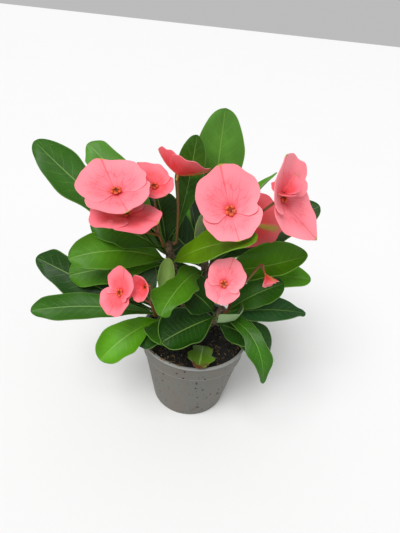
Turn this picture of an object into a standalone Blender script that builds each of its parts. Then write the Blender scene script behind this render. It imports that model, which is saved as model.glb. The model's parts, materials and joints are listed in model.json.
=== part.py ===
"""Potted euphorbia: a crown-of-thorns plant in a round plastic nursery pot.

Lengths are in millimetres here and become metres when a mesh is made. The origin is at the
middle of the pot's underside, +Z is up and -Y is the front. The plant's own heights count
from the soil's surface, so it moves up and down with the pot.
"""

import math
from typing import NamedTuple

import bmesh
import bpy
from mathutils import Vector
from mathutils.bvhtree import BVHTree

MM = 0.001
GAP = 0.3  # clearance between pieces that touch

# Pot
POT_HEIGHT = 81.0
RIM_RADIUS = 52.5
RIM_LIP_HEIGHT = 2.6
RIM_LIP_STANDS_PROUD = 1.2
COLLAR_HEIGHT = 17.5
COLLAR_FOOT_RADIUS = 50.0
COLLAR_STEP = 1.1
BASE_RADIUS = 37.0
BASE_EDGE = 1.4
POT_WALL = 1.3
POT_FLOOR = 3.6
FOOT_RING_WIDTH = 3.0
BASE_RECESS = 1.8
BASE_PAD_RADIUS = 12.0
DRAIN_HOLES = 8
DRAIN_HOLE_RADIUS = 3.6
DRAIN_CIRCLE_RADIUS = 22.0
TURNED_STEPS = 40
HOLE_SIDES = 24
SHARP_ANGLE = 40  # degrees; faces that meet more sharply keep an edge
LEAF_TIP_FROM = 0.95  # the share of a leaf's length from which its tip is blunted

# Soil
SOIL_BELOW_RIM = 4.5
SOIL_CROWN = 1.5

# Stem: radii, and the way of each branch from the fork to its tip
TRUNK_RADIUS = 5.6
BRANCH_RADIUS = 4.6
TIP_RADIUS = 3.2
TRUNK_BURIED = 42.0
TRUNK_X, TRUNK_Y = -2.0, 5.0
FORK_HEIGHT = 12.0
BRANCHES = {
    "upper_left": ((-13, 5, 34), (-24, 2, 64), (-29, 0, 88), (-30, -1, 100)),
    "upper_right": ((2, 9, 34), (4, 12, 58), (2, 12, 84)),
    "front_left": ((-16, -8, 20), (-27, -18, 30), (-33, -25, 44)),
    "front_right": ((11, -8, 22), (19, -17, 36), (22, -22, 52)),
    "back": ((4, 20, 28), (10, 32, 54), (12, 38, 78)),
}

# Leaves
LEAF_THICKNESS = 1.4
PETIOLE_HALF_WIDTH = 1.3
LEAF_START_SPARE = 1.0  # how far from its branch a leaf starts, past the gap
LEAF_STATIONS = (0.0, 0.015, 0.10, 0.22, 0.36, 0.50, 0.64, 0.77, 0.89, 0.975, 1.0)
LEAF_CORNERS = 8
LEAF_WAVES = 1.5  # how many times a margin rises and falls along a leaf
LEAF_TIP_SHARE = 0.14  # a leaf's least half width near its tip, as a share of its width


class Leaf(NamedTuple):
    """A leaf's place and shape. Azimuth 0 is +X and 90 is the back; angles are in degrees."""

    branch: str
    drop: float  # how far below the branch's tip it starts
    azimuth: float
    rise: float
    length: float
    width: float
    widest: float  # where it is widest, as a share of its length
    bow: float  # how far it arches upward, as a share of its length
    roll: float
    fold: float  # how far its halves fold up from the midrib
    wave: float  # how far its margins rise and fall


LEAVES = {
    "leaf_top_tall": Leaf("upper_right", 6, 85, 80, 130, 38, 0.70, -0.02, 10, 6, 1.0),
    "leaf_left_upper_long": Leaf("upper_left", 5, 165, 30, 140, 30, 0.66, -0.04, -45, 6, 2.0),
    "leaf_centre_oval": Leaf("back", 24, 195, 40, 95, 36, 0.62, 0.04, -45, 6, 1.0),
    "leaf_centre_folded": Leaf("upper_left", 17, 320, 35, 95, 34, 0.52, 0.05, 40, 10, 2.0),
    "leaf_left_broad": Leaf("upper_left", 16, 200, 5, 80, 34, 0.56, 0.10, -40, 6, 2.0),
    "leaf_centre_lobed": Leaf("upper_right", 14, 245, -5, 70, 26, 0.58, 0.14, -10, 6, 3.0),
    "leaf_left_top": Leaf("upper_left", 1, 155, 40, 105, 28, 0.62, 0.06, -35, 6, 3.5),
    "leaf_right_long": Leaf("upper_right", 12, 10, 35, 110, 30, 0.60, 0.06, 45, 6, 2.0),
    "leaf_front_droop": Leaf("front_right", 4, 310, -30, 65, 24, 0.55, 0.30, 25, 6, 2.0),
    "leaf_left_far": Leaf("front_left", 1, 170, 15, 115, 28, 0.66, -0.02, -45, 6, 3.0),
    "leaf_left_low_long": Leaf("front_left", 4, 190, 5, 105, 24, 0.64, 0.06, -40, 6, 2.5),
    "leaf_left_low_lime": Leaf("front_left", 10, 220, -20, 60, 30, 0.60, 0.10, -30, 6, 2.0),
    "leaf_front_bowl": Leaf("front_right", 12, 215, -10, 52, 34, 0.58, 0.04, -25, 12, 1.5),
    "leaf_right_curled": Leaf("upper_right", 16, 345, 30, 90, 32, 0.62, -0.04, 40, 16, 2.0),
    "leaf_right_small": Leaf("upper_right", 20, 350, 10, 90, 24, 0.64, 0.04, 35, 6, 2.0),
    "leaf_right_oval": Leaf("front_right", 4, 10, 30, 55, 26, 0.60, 0.06, 35, 6, 1.5),
    "leaf_right_pointed": Leaf("front_right", 8, 10, 0, 75, 24, 0.46, 0.06, 30, 6, 2.0),
    "leaf_front_right_dark": Leaf("front_right", 18, 355, -35, 60, 28, 0.56, 0.10, 35, 6, 1.5),
    "leaf_front_right_low": Leaf("front_right", 20, 325, 5, 40, 26, 0.58, 0.08, 25, 6, 1.5),
    "leaf_front_curled": Leaf("front_right", 3, 295, 40, 35, 26, 0.58, -0.12, 20, 18, 1.0),
    "leaf_front_dark": Leaf("front_right", 8, 180, 40, 35, 28, 0.60, 0.06, -35, 6, 1.0),
    "leaf_right_edge_on": Leaf("upper_right", 4, 15, 60, 95, 20, 0.60, 0.06, -10, 8, 1.5),
    "leaf_top_small": Leaf("upper_left", 1, 60, 75, 90, 26, 0.70, -0.04, 10, 6, 1.0),
    "leaf_top_folded": Leaf("upper_right", 4, 140, 75, 85, 24, 0.62, 0.06, 20, 14, 1.5),
    "leaf_left_inner": Leaf("upper_left", 8, 185, 20, 65, 26, 0.62, 0.08, -40, 6, 2.0),
    "leaf_left_up_inner": Leaf("upper_left", 6, 125, 40, 45, 22, 0.62, 0.06, -35, 6, 1.5),
    "leaf_centre_grey": Leaf("upper_right", 8, 160, 65, 55, 22, 0.60, 0.04, -40, 8, 1.0),
    "leaf_left_low_dark": Leaf("front_left", 10, 175, 0, 80, 24, 0.64, 0.06, -30, 6, 2.0),
    "leaf_left_mid_dark": Leaf("front_left", 1, 165, 35, 60, 32, 0.60, 0.06, -35, 6, 1.5),
    "leaf_left_low_inner": Leaf("front_left", 16, 225, -15, 30, 26, 0.60, 0.08, -20, 6, 1.5),
    "leaf_front_low": Leaf("front_left", 17, 265, 5, 30, 28, 0.60, 0.08, -5, 6, 1.5),
    "leaf_left_behind": Leaf("upper_left", 22, 180, -10, 85, 28, 0.62, 0.04, -40, 6, 2.0),
    "leaf_young_curled": Leaf("front_left", 0, 70, 80, 45, 14, 0.60, -0.06, 20, 20, 0.5),
    "leaf_back_left": Leaf("back", 4, 130, 30, 70, 28, 0.66, 0.10, -10, 6, 2.0),
    "leaf_back_middle": Leaf("back", 8, 100, 25, 95, 32, 0.66, 0.12, 0, 6, 2.0),
    "leaf_back_right": Leaf("back", 6, 55, 30, 75, 28, 0.66, 0.10, 10, 6, 2.0),
    "leaf_back_low_left": Leaf("back", 30, 190, -5, 75, 30, 0.64, 0.12, -20, 6, 2.0),
    "leaf_back_low_right": Leaf("back", 18, 35, 0, 75, 28, 0.64, 0.12, 0, 6, 2.0),
}
LOOSE_LEAF = "leaf_broken_on_soil"
LOOSE_LEAF_AT = (10, -20, 3.2)
LOOSE_LEAF_SHAPE = Leaf("", 0, 265, 8, 34, 30, 0.5, 0.05, 0, 4, 1.0)

# Flower heads: place of the head above the soil, azimuth and rise of its facing, spin of the
# first bract about that facing, reach of the two bracts, and how far each bract is raised.
BRACT_THICKNESS = 1.2
BRACT_NOTCH = 0.78
STUB_LENGTH = 4.0
STUB_RADIUS = 1.3
CENTRE_RADIUS = 2.3
CENTRE_HEIGHT = 4.0
FLOWER_CORNERS = 12
FLOWERS = {
    "flower_left_large": ((-68, -30, 152), 260, 70, 130, 34, 26, 6, 6),
    "flower_left_behind": ((-44, -6, 150), 275, 65, 130, 22, 16, 14, 14),
    "flower_left_under": ((-60, -34, 136), 260, 85, 175, 28, 26, 4, 4),
    "flower_top": ((-26, -4, 162), 270, 80, 165, 20, 22, 12, 2),
    "flower_middle_large": ((16, -36, 150), 270, 35, 110, 32, 24, 8, 16),
    "flower_middle_behind": ((30, -4, 128), 80, 10, 5, 34, 32, 4, 4),
    "flower_right_open": ((52, -26, 160), 310, 45, 110, 30, 34, 40, 4),
    "flower_left_low": ((-62, -46, 74), 240, 35, 85, 20, 20, 16, 10),
    "flower_left_bud": ((-42, -42, 80), 255, 25, 110, 12, 12, 30, 30),
    "flower_front_middle": ((18, -50, 96), 270, 40, 75, 20, 16, 8, 8),
    "flower_right_bud": ((52, -30, 96), 300, -30, 90, 10, 8, 40, 40),
    "flower_left_hidden": ((-74, 26, 98), 250, 70, 20, 22, 24, 14, 6),
}

# Flower stalks: the branch and drop where each starts, the fork, and each head with the points
# that its own stalk passes on the way from the fork.
STALK_RADIUS = 1.15
STALK_STEPS = 2
STALKS = {
    "stalk_left": (
        "upper_left",
        2,
        (-38, -9, 110),
        (
            ("flower_left_large", ((-55, -3, 132), (-61, -6, 142))),
            ("flower_left_behind", ()),
            ("flower_left_under", ()),
        ),
    ),
    "stalk_left_back": ("upper_left", 10, (-52, 14, 94), (("flower_left_hidden", ()),)),
    "stalk_top": ("upper_left", 1, (-24, 0, 126), (("flower_top", ()),)),
    "stalk_right": (
        "upper_right",
        2,
        (12, 2, 102),
        (("flower_middle_large", ()), ("flower_middle_behind", ()), ("flower_right_open", ())),
    ),
    "stalk_low_left": (
        "front_left",
        1,
        (-40, -33, 58),
        (("flower_left_low", ()), ("flower_left_bud", ())),
    ),
    "stalk_low_right": (
        "front_right",
        1,
        (28, -26, 66),
        (("flower_front_middle", ()), ("flower_right_bud", ())),
    ),
}

# Leaves turn aside by the smallest of these angles that clears what is already in place.
SETTLE_STEPS = (0, 3, 6, 9, 12, 16, 20, 25, 30)
SETTLE_SKIN = 0.7

COLOURS = {
    "pot": ((0.165, 0.138, 0.115), 0.55),
    "soil": ((0.012, 0.008, 0.006), 0.95),
    "stem": ((0.060, 0.040, 0.025), 0.85),
    "stalk": ((0.100, 0.075, 0.015), 0.50),
    "leaf": ((0.060, 0.200, 0.020), 0.40),
    "flower": ((0.900, 0.250, 0.330), 0.55),
}

SOIL_TOP = POT_HEIGHT - SOIL_BELOW_RIM


def clear_scene():
    for old in list(bpy.data.objects):
        bpy.data.objects.remove(old, do_unlink=True)


def new_collection(name):
    collection = bpy.data.collections.new(name)
    bpy.context.scene.collection.children.link(collection)
    return collection


def material_for(kind):
    made = bpy.data.materials.get(kind)
    if made:
        return made
    colour, roughness = COLOURS[kind]
    made = bpy.data.materials.new(kind)
    made.use_nodes = True
    shader = made.node_tree.nodes["Principled BSDF"]
    shader.inputs["Base Color"].default_value = (*colour, 1.0)
    shader.inputs["Roughness"].default_value = roughness
    shader.inputs["Metallic"].default_value = 0.0
    return made


def add_object(name, mesh, collection, kind=None):
    made = bpy.data.objects.new(name, mesh)
    collection.objects.link(made)
    if kind:
        mesh.materials.append(material_for(kind))
    return made


def add_bmesh(name, shape, collection, kind=None, smooth=True):
    bmesh.ops.scale(shape, vec=(MM, MM, MM), verts=shape.verts)
    mesh = bpy.data.meshes.new(name)
    shape.to_mesh(mesh)
    shape.free()
    if smooth:
        mesh.shade_smooth()
        mesh.set_sharp_from_angle(angle=math.radians(SHARP_ANGLE))
    return add_object(name, mesh, collection, kind)


def heading(azimuth, rise):
    """The unit vector that points this way, from degrees."""
    across = math.cos(math.radians(rise))
    return Vector(
        (
            across * math.cos(math.radians(azimuth)),
            across * math.sin(math.radians(azimuth)),
            math.sin(math.radians(rise)),
        )
    )


def turned(name, profile, collection, kind):
    """A profile in X and Z turned about Z by a Screw modifier. It runs down its outer side."""
    mesh = bpy.data.meshes.new(name)
    points = [(x * MM, 0.0, z * MM) for x, z in profile]
    mesh.from_pydata(points, [(i, i + 1) for i in range(len(points) - 1)], [])
    made = add_object(name, mesh, collection, kind)
    screw = made.modifiers.new("turn", "SCREW")
    screw.steps = TURNED_STEPS
    screw.render_steps = TURNED_STEPS
    screw.use_merge_vertices = True
    screw.merge_threshold = 0.0001
    screw.use_smooth_shade = True
    return made


def cut(target, cutter, name):
    boolean = target.modifiers.new(name, "BOOLEAN")
    boolean.operation = "DIFFERENCE"
    boolean.solver = "EXACT"
    boolean.object = cutter
    cutter.hide_render = True
    cutter.display_type = "WIRE"


def cylinder(name, radius, low, high, places, collection):
    """Upright cylinders at these (x, y) places, joined in one cutter."""
    shape = bmesh.new()
    for x, y in places:
        made = bmesh.ops.create_cone(
            shape,
            cap_ends=True,
            segments=HOLE_SIDES,
            radius1=radius,
            radius2=radius,
            depth=high - low,
        )
        bmesh.ops.translate(shape, vec=(x, y, (low + high) / 2), verts=made["verts"])
    return add_bmesh(name, shape, collection, smooth=False)


def collar_foot():
    return POT_HEIGHT - COLLAR_HEIGHT


def inner_radius(height):
    """The radius of the pot's inside at this height."""
    body_top = COLLAR_FOOT_RADIUS - COLLAR_STEP
    if height <= collar_foot():
        share = height / collar_foot()
        return BASE_RADIUS + (body_top - BASE_RADIUS) * share - POT_WALL
    share = (height - collar_foot()) / COLLAR_HEIGHT
    rim = RIM_RADIUS - RIM_LIP_STANDS_PROUD
    return body_top + (rim - body_top) * share - POT_WALL


def make_pot(parts, cutters):
    rim = RIM_RADIUS
    lip = rim - RIM_LIP_STANDS_PROUD
    foot = BASE_RADIUS - BASE_EDGE
    recess_edge = foot - FOOT_RING_WIDTH
    inside_rim = inner_radius(POT_HEIGHT)
    profile = [
        (0.0, POT_FLOOR),
        (inner_radius(POT_FLOOR) - 1.2, POT_FLOOR),
        (inner_radius(POT_FLOOR + 1.2), POT_FLOOR + 1.2),
        (inner_radius(collar_foot() - 1.0), collar_foot() - 1.0),
        (inner_radius(collar_foot() + 0.8), collar_foot() + 0.8),
        (inside_rim, POT_HEIGHT - 0.5),
        (inside_rim + 0.5, POT_HEIGHT),
        (rim - 0.6, POT_HEIGHT),
        (rim, POT_HEIGHT - 0.6),
        (rim, POT_HEIGHT - RIM_LIP_HEIGHT),
        (lip, POT_HEIGHT - RIM_LIP_HEIGHT - 0.6),
        (COLLAR_FOOT_RADIUS, collar_foot() + 0.3),
        (COLLAR_FOOT_RADIUS - COLLAR_STEP, collar_foot() - 0.3),
        (BASE_RADIUS, BASE_EDGE * 1.6),
        (BASE_RADIUS - 0.5, BASE_EDGE * 0.5),
        (foot, 0.0),
        (recess_edge, 0.0),
        (recess_edge - 0.6, BASE_RECESS),
        (BASE_PAD_RADIUS + 0.6, BASE_RECESS),
        (BASE_PAD_RADIUS, 0.0),
        (0.0, 0.0),
    ]
    pot = turned("pot", profile, parts, "pot")
    places = []
    for hole in range(DRAIN_HOLES):
        turn = math.tau * (hole + 0.5) / DRAIN_HOLES
        places.append((DRAIN_CIRCLE_RADIUS * math.cos(turn), DRAIN_CIRCLE_RADIUS * math.sin(turn)))
    holes = cylinder("drain_cutter", DRAIN_HOLE_RADIUS, -2.0, POT_FLOOR + 2.0, places, cutters)
    cut(pot, holes, "drain holes")
    return pot


def make_soil(parts, cutters):
    floor = POT_FLOOR + GAP
    profile = [
        (0.0, SOIL_TOP + SOIL_CROWN),
        (0.55 * inner_radius(SOIL_TOP), SOIL_TOP + 0.8 * SOIL_CROWN),
        (inner_radius(SOIL_TOP - 1.0) - GAP - 1.2, SOIL_TOP),
        (inner_radius(SOIL_TOP - 1.0) - GAP, SOIL_TOP - 1.0),
        (inner_radius(collar_foot()) - GAP, collar_foot()),
        (inner_radius(floor + 1.5) - GAP, floor + 1.5),
        (inner_radius(floor) - GAP - 1.6, floor),
        (0.0, floor),
    ]
    soil = turned("soil", profile, parts, "soil")
    socket = cylinder(
        "socket_cutter",
        TRUNK_RADIUS + GAP,
        SOIL_TOP - TRUNK_BURIED - GAP,
        SOIL_TOP + SOIL_CROWN + 10.0,
        [(TRUNK_X, TRUNK_Y)],
        cutters,
    )
    cut(soil, socket, "stem socket")
    return soil


def tube(name, points, radii, collection, kind=None):
    """A round tube with closed ends through these points, as a welded mesh."""
    data = bpy.data.curves.new(name, "CURVE")
    data.dimensions = "3D"
    data.bevel_depth = MM
    data.bevel_resolution = 2
    data.use_fill_caps = True
    spline = data.splines.new("POLY")
    spline.points.add(len(points) - 1)
    for point, place, radius in zip(spline.points, points, radii):
        point.co = (place[0] * MM, place[1] * MM, place[2] * MM, 1.0)
        point.radius = radius
    made = bpy.data.objects.new(name + "_curve", data)
    collection.objects.link(made)
    graph = bpy.context.evaluated_depsgraph_get()
    mesh = bpy.data.meshes.new_from_object(made.evaluated_get(graph))
    mesh.name = name
    shape = bmesh.new()
    shape.from_mesh(mesh)
    bmesh.ops.remove_doubles(shape, verts=shape.verts, dist=0.00001)
    bmesh.ops.recalc_face_normals(shape, faces=shape.faces)
    shape.to_mesh(mesh)
    shape.free()
    matrix = made.matrix_world.copy()
    bpy.data.objects.remove(made, do_unlink=True)
    mesh.materials.clear()
    mesh.shade_smooth()
    result = add_object(name, mesh, collection, kind)
    result.matrix_world = matrix
    return result


def smooth_way(points, steps):
    """Points along a Catmull-Rom curve through the given points."""
    given = [Vector(p) for p in points]
    padded = [2 * given[0] - given[1], *given, 2 * given[-1] - given[-2]]
    way = []
    for i in range(1, len(padded) - 2):
        a, b, c, d = padded[i - 1 : i + 3]
        for step in range(steps):
            t = step / steps
            way.append(
                0.5
                * (
                    2 * b
                    + (c - a) * t
                    + (2 * a - 5 * b + 4 * c - d) * t**2
                    + (3 * b - a - 3 * c + d) * t**3
                )
            )
    way.append(given[-1])
    return way


def lifted(point):
    """A point of the plant, from heights above the soil to the world."""
    return Vector((point[0], point[1], point[2] + SOIL_TOP))


def branch_way(name):
    fork = (TRUNK_X, TRUNK_Y, FORK_HEIGHT)
    return [lifted(p) for p in smooth_way((fork, *BRANCHES[name]), 3)]


def branch_place(name, drop):
    """The point and the direction of a branch's axis, this far below its tip."""
    way = branch_way(name)
    left = drop
    for high, low in zip(way[::-1], way[-2::-1]):
        length = (high - low).length
        if left <= length:
            return high.lerp(low, left / length), (high - low).normalized()
        left -= length
    return way[0], (way[1] - way[0]).normalized()


def join(pieces, name):
    """The pieces as one body, by Boolean unions that are applied to the first."""
    first = pieces[0]
    for other in pieces[1:]:
        union = first.modifiers.new("join", "BOOLEAN")
        union.operation = "UNION"
        union.solver = "EXACT"
        union.object = other
    graph = bpy.context.evaluated_depsgraph_get()
    mesh = bpy.data.meshes.new_from_object(first.evaluated_get(graph))
    mesh.name = name
    mesh.shade_smooth()
    first.modifiers.clear()
    old = first.data
    first.data = mesh
    bpy.data.meshes.remove(old)
    for other in pieces[1:]:
        bpy.data.objects.remove(other, do_unlink=True)
    first.name = name
    return first


def make_stem(parts):
    trunk = [
        (TRUNK_X, TRUNK_Y, SOIL_TOP - TRUNK_BURIED),
        (TRUNK_X, TRUNK_Y, SOIL_TOP - 1.0),
        (TRUNK_X, TRUNK_Y, SOIL_TOP + FORK_HEIGHT * 0.6),
        (TRUNK_X, TRUNK_Y, SOIL_TOP + FORK_HEIGHT + 2.0),
    ]
    radii = (TRUNK_RADIUS, TRUNK_RADIUS, TRUNK_RADIUS * 0.98, TRUNK_RADIUS * 0.6)
    pieces = [tube("stem", trunk, radii, parts, "stem")]
    for name in BRANCHES:
        way = branch_way(name)
        radii = []
        for i in range(len(way)):
            share = i / (len(way) - 1)
            radii.append(BRANCH_RADIUS + (TIP_RADIUS - BRANCH_RADIUS) * max(0.0, 2 * share - 1))
        pieces.append(tube("branch_" + name, way, radii, parts))
    return join(pieces, "stem")


def branch_side(name, drop, azimuth, spare):
    """A point beside a branch on this side, clear of its surface by the gap and the spare."""
    point, along = branch_place(name, drop)
    out = heading(azimuth, 0)
    out = (out - along * out.dot(along)).normalized()
    return point + out * (BRANCH_RADIUS + GAP + spare)


def make_stalk(name, parts):
    branch, drop, fork, heads = STALKS[name]
    fork = lifted(fork)
    root = branch_place(branch, drop)[0]
    reach = fork - root
    start = branch_side(branch, drop, math.degrees(math.atan2(reach.y, reach.x)), STALK_RADIUS)
    pieces = []
    for head, passes in heads:
        place, azimuth, rise = FLOWERS[head][:3]
        facing = heading(azimuth, rise)
        end = lifted(place) - facing * (STUB_LENGTH + 2 * GAP)
        near_end = end - facing * 5.0
        passes = [lifted(p) for p in passes] or [fork.lerp(near_end, 0.5)]
        first = [fork] if pieces else [start, fork]
        way = smooth_way([*first, *passes, near_end, end], STALK_STEPS)
        radius = STALK_RADIUS * (0.9 if pieces else 1.0)
        pieces.append(tube(name, way, [radius] * len(way), parts, "stalk"))
    return join(pieces, name)


def flower_points(name):
    """How a unit sphere's point goes to the flower head: rings from its centre to its stub."""
    place, azimuth, rise, spin, reach_one, reach_two, raise_one, raise_two = FLOWERS[name]
    facing = heading(azimuth, rise)
    level = heading(azimuth + 90, 0)
    upward = facing.cross(level)
    first = level * math.cos(math.radians(spin)) + upward * math.sin(math.radians(spin))
    second = facing.cross(first)
    origin = lifted(place)

    def place_of(ring, turn):
        along = math.cos(turn)
        reach = (reach_one + reach_two) / 2 + (reach_one - reach_two) / 2 * along
        reach *= BRACT_NOTCH + (1 - BRACT_NOTCH) * abs(along) ** 0.7
        lift = (raise_one + raise_two) / 2 + (raise_one - raise_two) / 2 * along
        lift = math.radians(lift)
        if ring == 0:
            radius, height = 0.0, CENTRE_HEIGHT
        elif ring == 1:
            radius, height = CENTRE_RADIUS * 0.8, CENTRE_HEIGHT - 0.7
        elif ring == 2:
            radius, height = CENTRE_RADIUS, BRACT_THICKNESS
        elif ring == 3:
            radius = 0.6 * reach * math.cos(lift)
            height = 0.6 * reach * math.sin(lift) + BRACT_THICKNESS
        elif ring == 4:
            radius = reach * math.cos(lift)
            height = reach * math.sin(lift) + BRACT_THICKNESS / 2
        elif ring == 5:
            radius = 0.6 * reach * math.cos(lift)
            height = 0.6 * reach * math.sin(lift)
        elif ring == 6:
            radius, height = STUB_RADIUS * 1.2, -0.8
        elif ring == 7:
            radius, height = STUB_RADIUS, GAP - STUB_LENGTH
        else:
            radius, height = 0.0, -STUB_LENGTH
        out = first * math.cos(turn) + second * math.sin(turn)
        return origin + out * radius + facing * height

    return place_of


def sphere_shape(segments, rings, place_of):
    """A sphere of segments and rings, drawn out so each point goes where place_of says."""
    shape = bmesh.new()
    bmesh.ops.create_uvsphere(shape, u_segments=segments, v_segments=rings, radius=1.0)
    for vertex in shape.verts:
        ring = round(math.acos(max(-1.0, min(1.0, vertex.co.z))) / math.pi * rings)
        turn = math.atan2(vertex.co.y, vertex.co.x) if 0 < ring < rings else 0.0
        vertex.co = place_of(ring, turn)
    return shape


def make_flower(name, parts):
    return add_bmesh(name, sphere_shape(FLOWER_CORNERS, 8, flower_points(name)), parts, "flower")


def leaf_width(share, widest):
    """Half the leaf's width at this share of its length, as a share of its greatest."""
    power = math.log(0.5) / math.log(widest)
    return max(0.0, math.sin(math.pi * min(1.0, share**power))) ** 0.75


def leaf_points(start, leaf):
    """How a unit sphere's point goes to the leaf: its rings are sections along the midrib."""
    along = heading(leaf.azimuth, leaf.rise)
    side = Vector((0, 0, 1)).cross(along).normalized()
    normal = along.cross(side)
    roll = math.radians(leaf.roll)
    last = len(LEAF_STATIONS) - 1

    def spine(share):
        return start + leaf.length * (along * share + normal * leaf.bow * 4 * share * (1 - share))

    def place_of(ring, turn):
        share = LEAF_STATIONS[last - ring]
        middle = spine(share)
        if ring in (0, last):
            return middle
        tangent = (spine(share + 0.01) - spine(share - 0.01)).normalized()
        level = (side - tangent * side.dot(tangent)).normalized()
        plumb = tangent.cross(level)
        across = level * math.cos(roll) + plumb * math.sin(roll)
        up = plumb * math.cos(roll) - level * math.sin(roll)
        stalk = PETIOLE_HALF_WIDTH * min(1.0, share * 20 + 0.5)
        half = max(stalk, leaf.width / 2 * leaf_width(share, leaf.widest))
        if share > LEAF_TIP_FROM:
            half = max(leaf.width * LEAF_TIP_SHARE, half)
        offset = half * math.cos(turn)
        bladed = min(1.0, half / 4)
        folded = abs(offset) * math.tan(math.radians(leaf.fold)) * bladed
        ripple = leaf.wave * (offset / half) ** 2 * bladed
        ripple *= math.sin(math.tau * LEAF_WAVES * share + (1.4 if offset > 0 else 0.0))
        thick = LEAF_THICKNESS / 2 * math.sin(turn)
        return middle + across * offset + up * (thick + folded + ripple)

    return place_of


def leaf_shape(start, leaf):
    return sphere_shape(LEAF_CORNERS, len(LEAF_STATIONS) - 1, leaf_points(start, leaf))


def tree_of(shape):
    shape.faces.ensure_lookup_table()
    return BVHTree.FromBMesh(shape)


def tree_of_object(obj):
    graph = bpy.context.evaluated_depsgraph_get()
    evaluated = obj.evaluated_get(graph)
    mesh = evaluated.to_mesh()
    points = [tuple(value / MM for value in vertex.co) for vertex in mesh.vertices]
    faces = [tuple(polygon.vertices) for polygon in mesh.polygons]
    evaluated.to_mesh_clear()
    return BVHTree.FromPolygons(points, faces)


def thick_tree(shape):
    """The shape's tree with its skin moved out, so that what clears it keeps a gap."""
    grown = shape.copy()
    grown.normal_update()
    moves = [vertex.co + vertex.normal * SETTLE_SKIN for vertex in grown.verts]
    for vertex, place in zip(grown.verts, moves):
        vertex.co = place
    tree = tree_of(grown)
    grown.free()
    return tree


def settle_turns():
    """Small turns in azimuth, rise and roll, from none to the largest."""
    turns = []
    for step in SETTLE_STEPS:
        for azimuth in (0, 1, -1):
            for rise in (0, 1, -1):
                for roll in (0, 1, -1):
                    turn = (azimuth * step, rise * step, roll * step)
                    if turn not in turns:
                        turns.append(turn)
    turns.sort(key=lambda turn: abs(turn[0]) + abs(turn[1]) + 0.6 * abs(turn[2]))
    return turns


def make_leaf(name, obstacles, turns, parts):
    """The leaf at the smallest turn that is clear of everything in place."""
    planned = LEAVES[name]
    best = None
    for azimuth, rise, roll in turns:
        leaf = planned._replace(
            azimuth=planned.azimuth + azimuth,
            rise=planned.rise + rise,
            roll=planned.roll + roll,
        )
        shape = leaf_shape(branch_side(leaf.branch, leaf.drop, leaf.azimuth, LEAF_START_SPARE), leaf)
        tree = thick_tree(shape)
        clashes = sum(len(tree.overlap(other)) for other in obstacles)
        if best is None or clashes < best[0]:
            if best:
                best[1].free()
            best = (clashes, shape)
        else:
            shape.free()
        if clashes == 0:
            break
    shape = best[1]
    obstacles.append(tree_of(shape))
    return add_bmesh(name, shape, parts, "leaf")


def make_loose_leaf(parts, obstacles):
    shape = leaf_shape(lifted(LOOSE_LEAF_AT), LOOSE_LEAF_SHAPE)
    obstacles.append(tree_of(shape))
    return add_bmesh(LOOSE_LEAF, shape, parts, "leaf")


def main():
    clear_scene()
    parts = new_collection("potted_euphorbia")
    cutters = new_collection("cutters")
    cutters.hide_render = True
    solid = [make_pot(parts, cutters), make_soil(parts, cutters), make_stem(parts)]
    for name in STALKS:
        solid.append(make_stalk(name, parts))
    for name in FLOWERS:
        solid.append(make_flower(name, parts))
    obstacles = [tree_of_object(obj) for obj in solid]
    make_loose_leaf(parts, obstacles)
    turns = settle_turns()
    for name in LEAVES:
        make_leaf(name, obstacles, turns, parts)


main()
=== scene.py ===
"""Potted euphorbia: leaves, flower heads, stem, soil and pot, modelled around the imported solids.

Each operator makes one kind of piece. A leaf and a flower head take their place and their form
from their own solid; the stem and the stalks are grown from theirs; the pot and the soil are
turned to the solids' radii and heights. Run the file as a script.
"""

import copy
import json
import math
import random
from bisect import bisect_right
from typing import NamedTuple

import bmesh
import bpy
from bpy.props import FloatProperty, FloatVectorProperty, IntProperty, PointerProperty
from mathutils import Matrix, Vector, noise
from mathutils.bvhtree import BVHTree


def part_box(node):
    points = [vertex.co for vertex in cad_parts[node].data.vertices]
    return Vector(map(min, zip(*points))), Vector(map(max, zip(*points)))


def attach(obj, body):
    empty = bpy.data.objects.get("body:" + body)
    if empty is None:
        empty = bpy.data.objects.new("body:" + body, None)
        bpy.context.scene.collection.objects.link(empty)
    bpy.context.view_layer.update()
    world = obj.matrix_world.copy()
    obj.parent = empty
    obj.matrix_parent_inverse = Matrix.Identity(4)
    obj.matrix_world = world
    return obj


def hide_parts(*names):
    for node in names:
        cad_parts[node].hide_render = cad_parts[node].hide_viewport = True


bl_info = {
    "name": "Potted Euphorbia",
    "version": (1, 0, 0),
    "blender": (4, 5, 0),
    "location": "3D View > Sidebar > Euphorbia",
    "description": "Models a crown-of-thorns plant and its nursery pot around their packed solids",
    "category": "Object",
}

MM = 0.001
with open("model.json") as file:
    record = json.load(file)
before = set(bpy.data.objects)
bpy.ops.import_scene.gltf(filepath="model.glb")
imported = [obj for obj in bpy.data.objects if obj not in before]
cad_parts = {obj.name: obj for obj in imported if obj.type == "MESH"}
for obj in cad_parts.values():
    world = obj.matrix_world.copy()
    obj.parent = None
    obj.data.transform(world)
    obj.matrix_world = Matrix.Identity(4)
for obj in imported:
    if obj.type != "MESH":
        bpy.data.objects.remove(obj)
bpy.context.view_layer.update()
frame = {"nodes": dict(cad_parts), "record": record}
POT_LOW, POT_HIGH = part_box("pot")
SOIL_LOW, SOIL_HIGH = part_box("soil")

BODY = "root"
MERGE = 0.000002
LEAF_CORNERS, LEAF_RINGS = 8, 9
FLOWER_CORNERS, FLOWER_RINGS = 12, 7


def colour(red, green, blue):
    """A linear colour from the 0 to 255 values that a paint chart gives."""
    linear = []
    for value in (red, green, blue):
        share = value / 255
        linear.append(share / 12.92 if share <= 0.04045 else ((share + 0.055) / 1.055) ** 2.4)
    return tuple(linear)


def colour_property(name, description, default):
    return FloatVectorProperty(
        name=name, description=description, subtype="COLOR", size=3, min=0, max=1, default=default
    )


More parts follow.
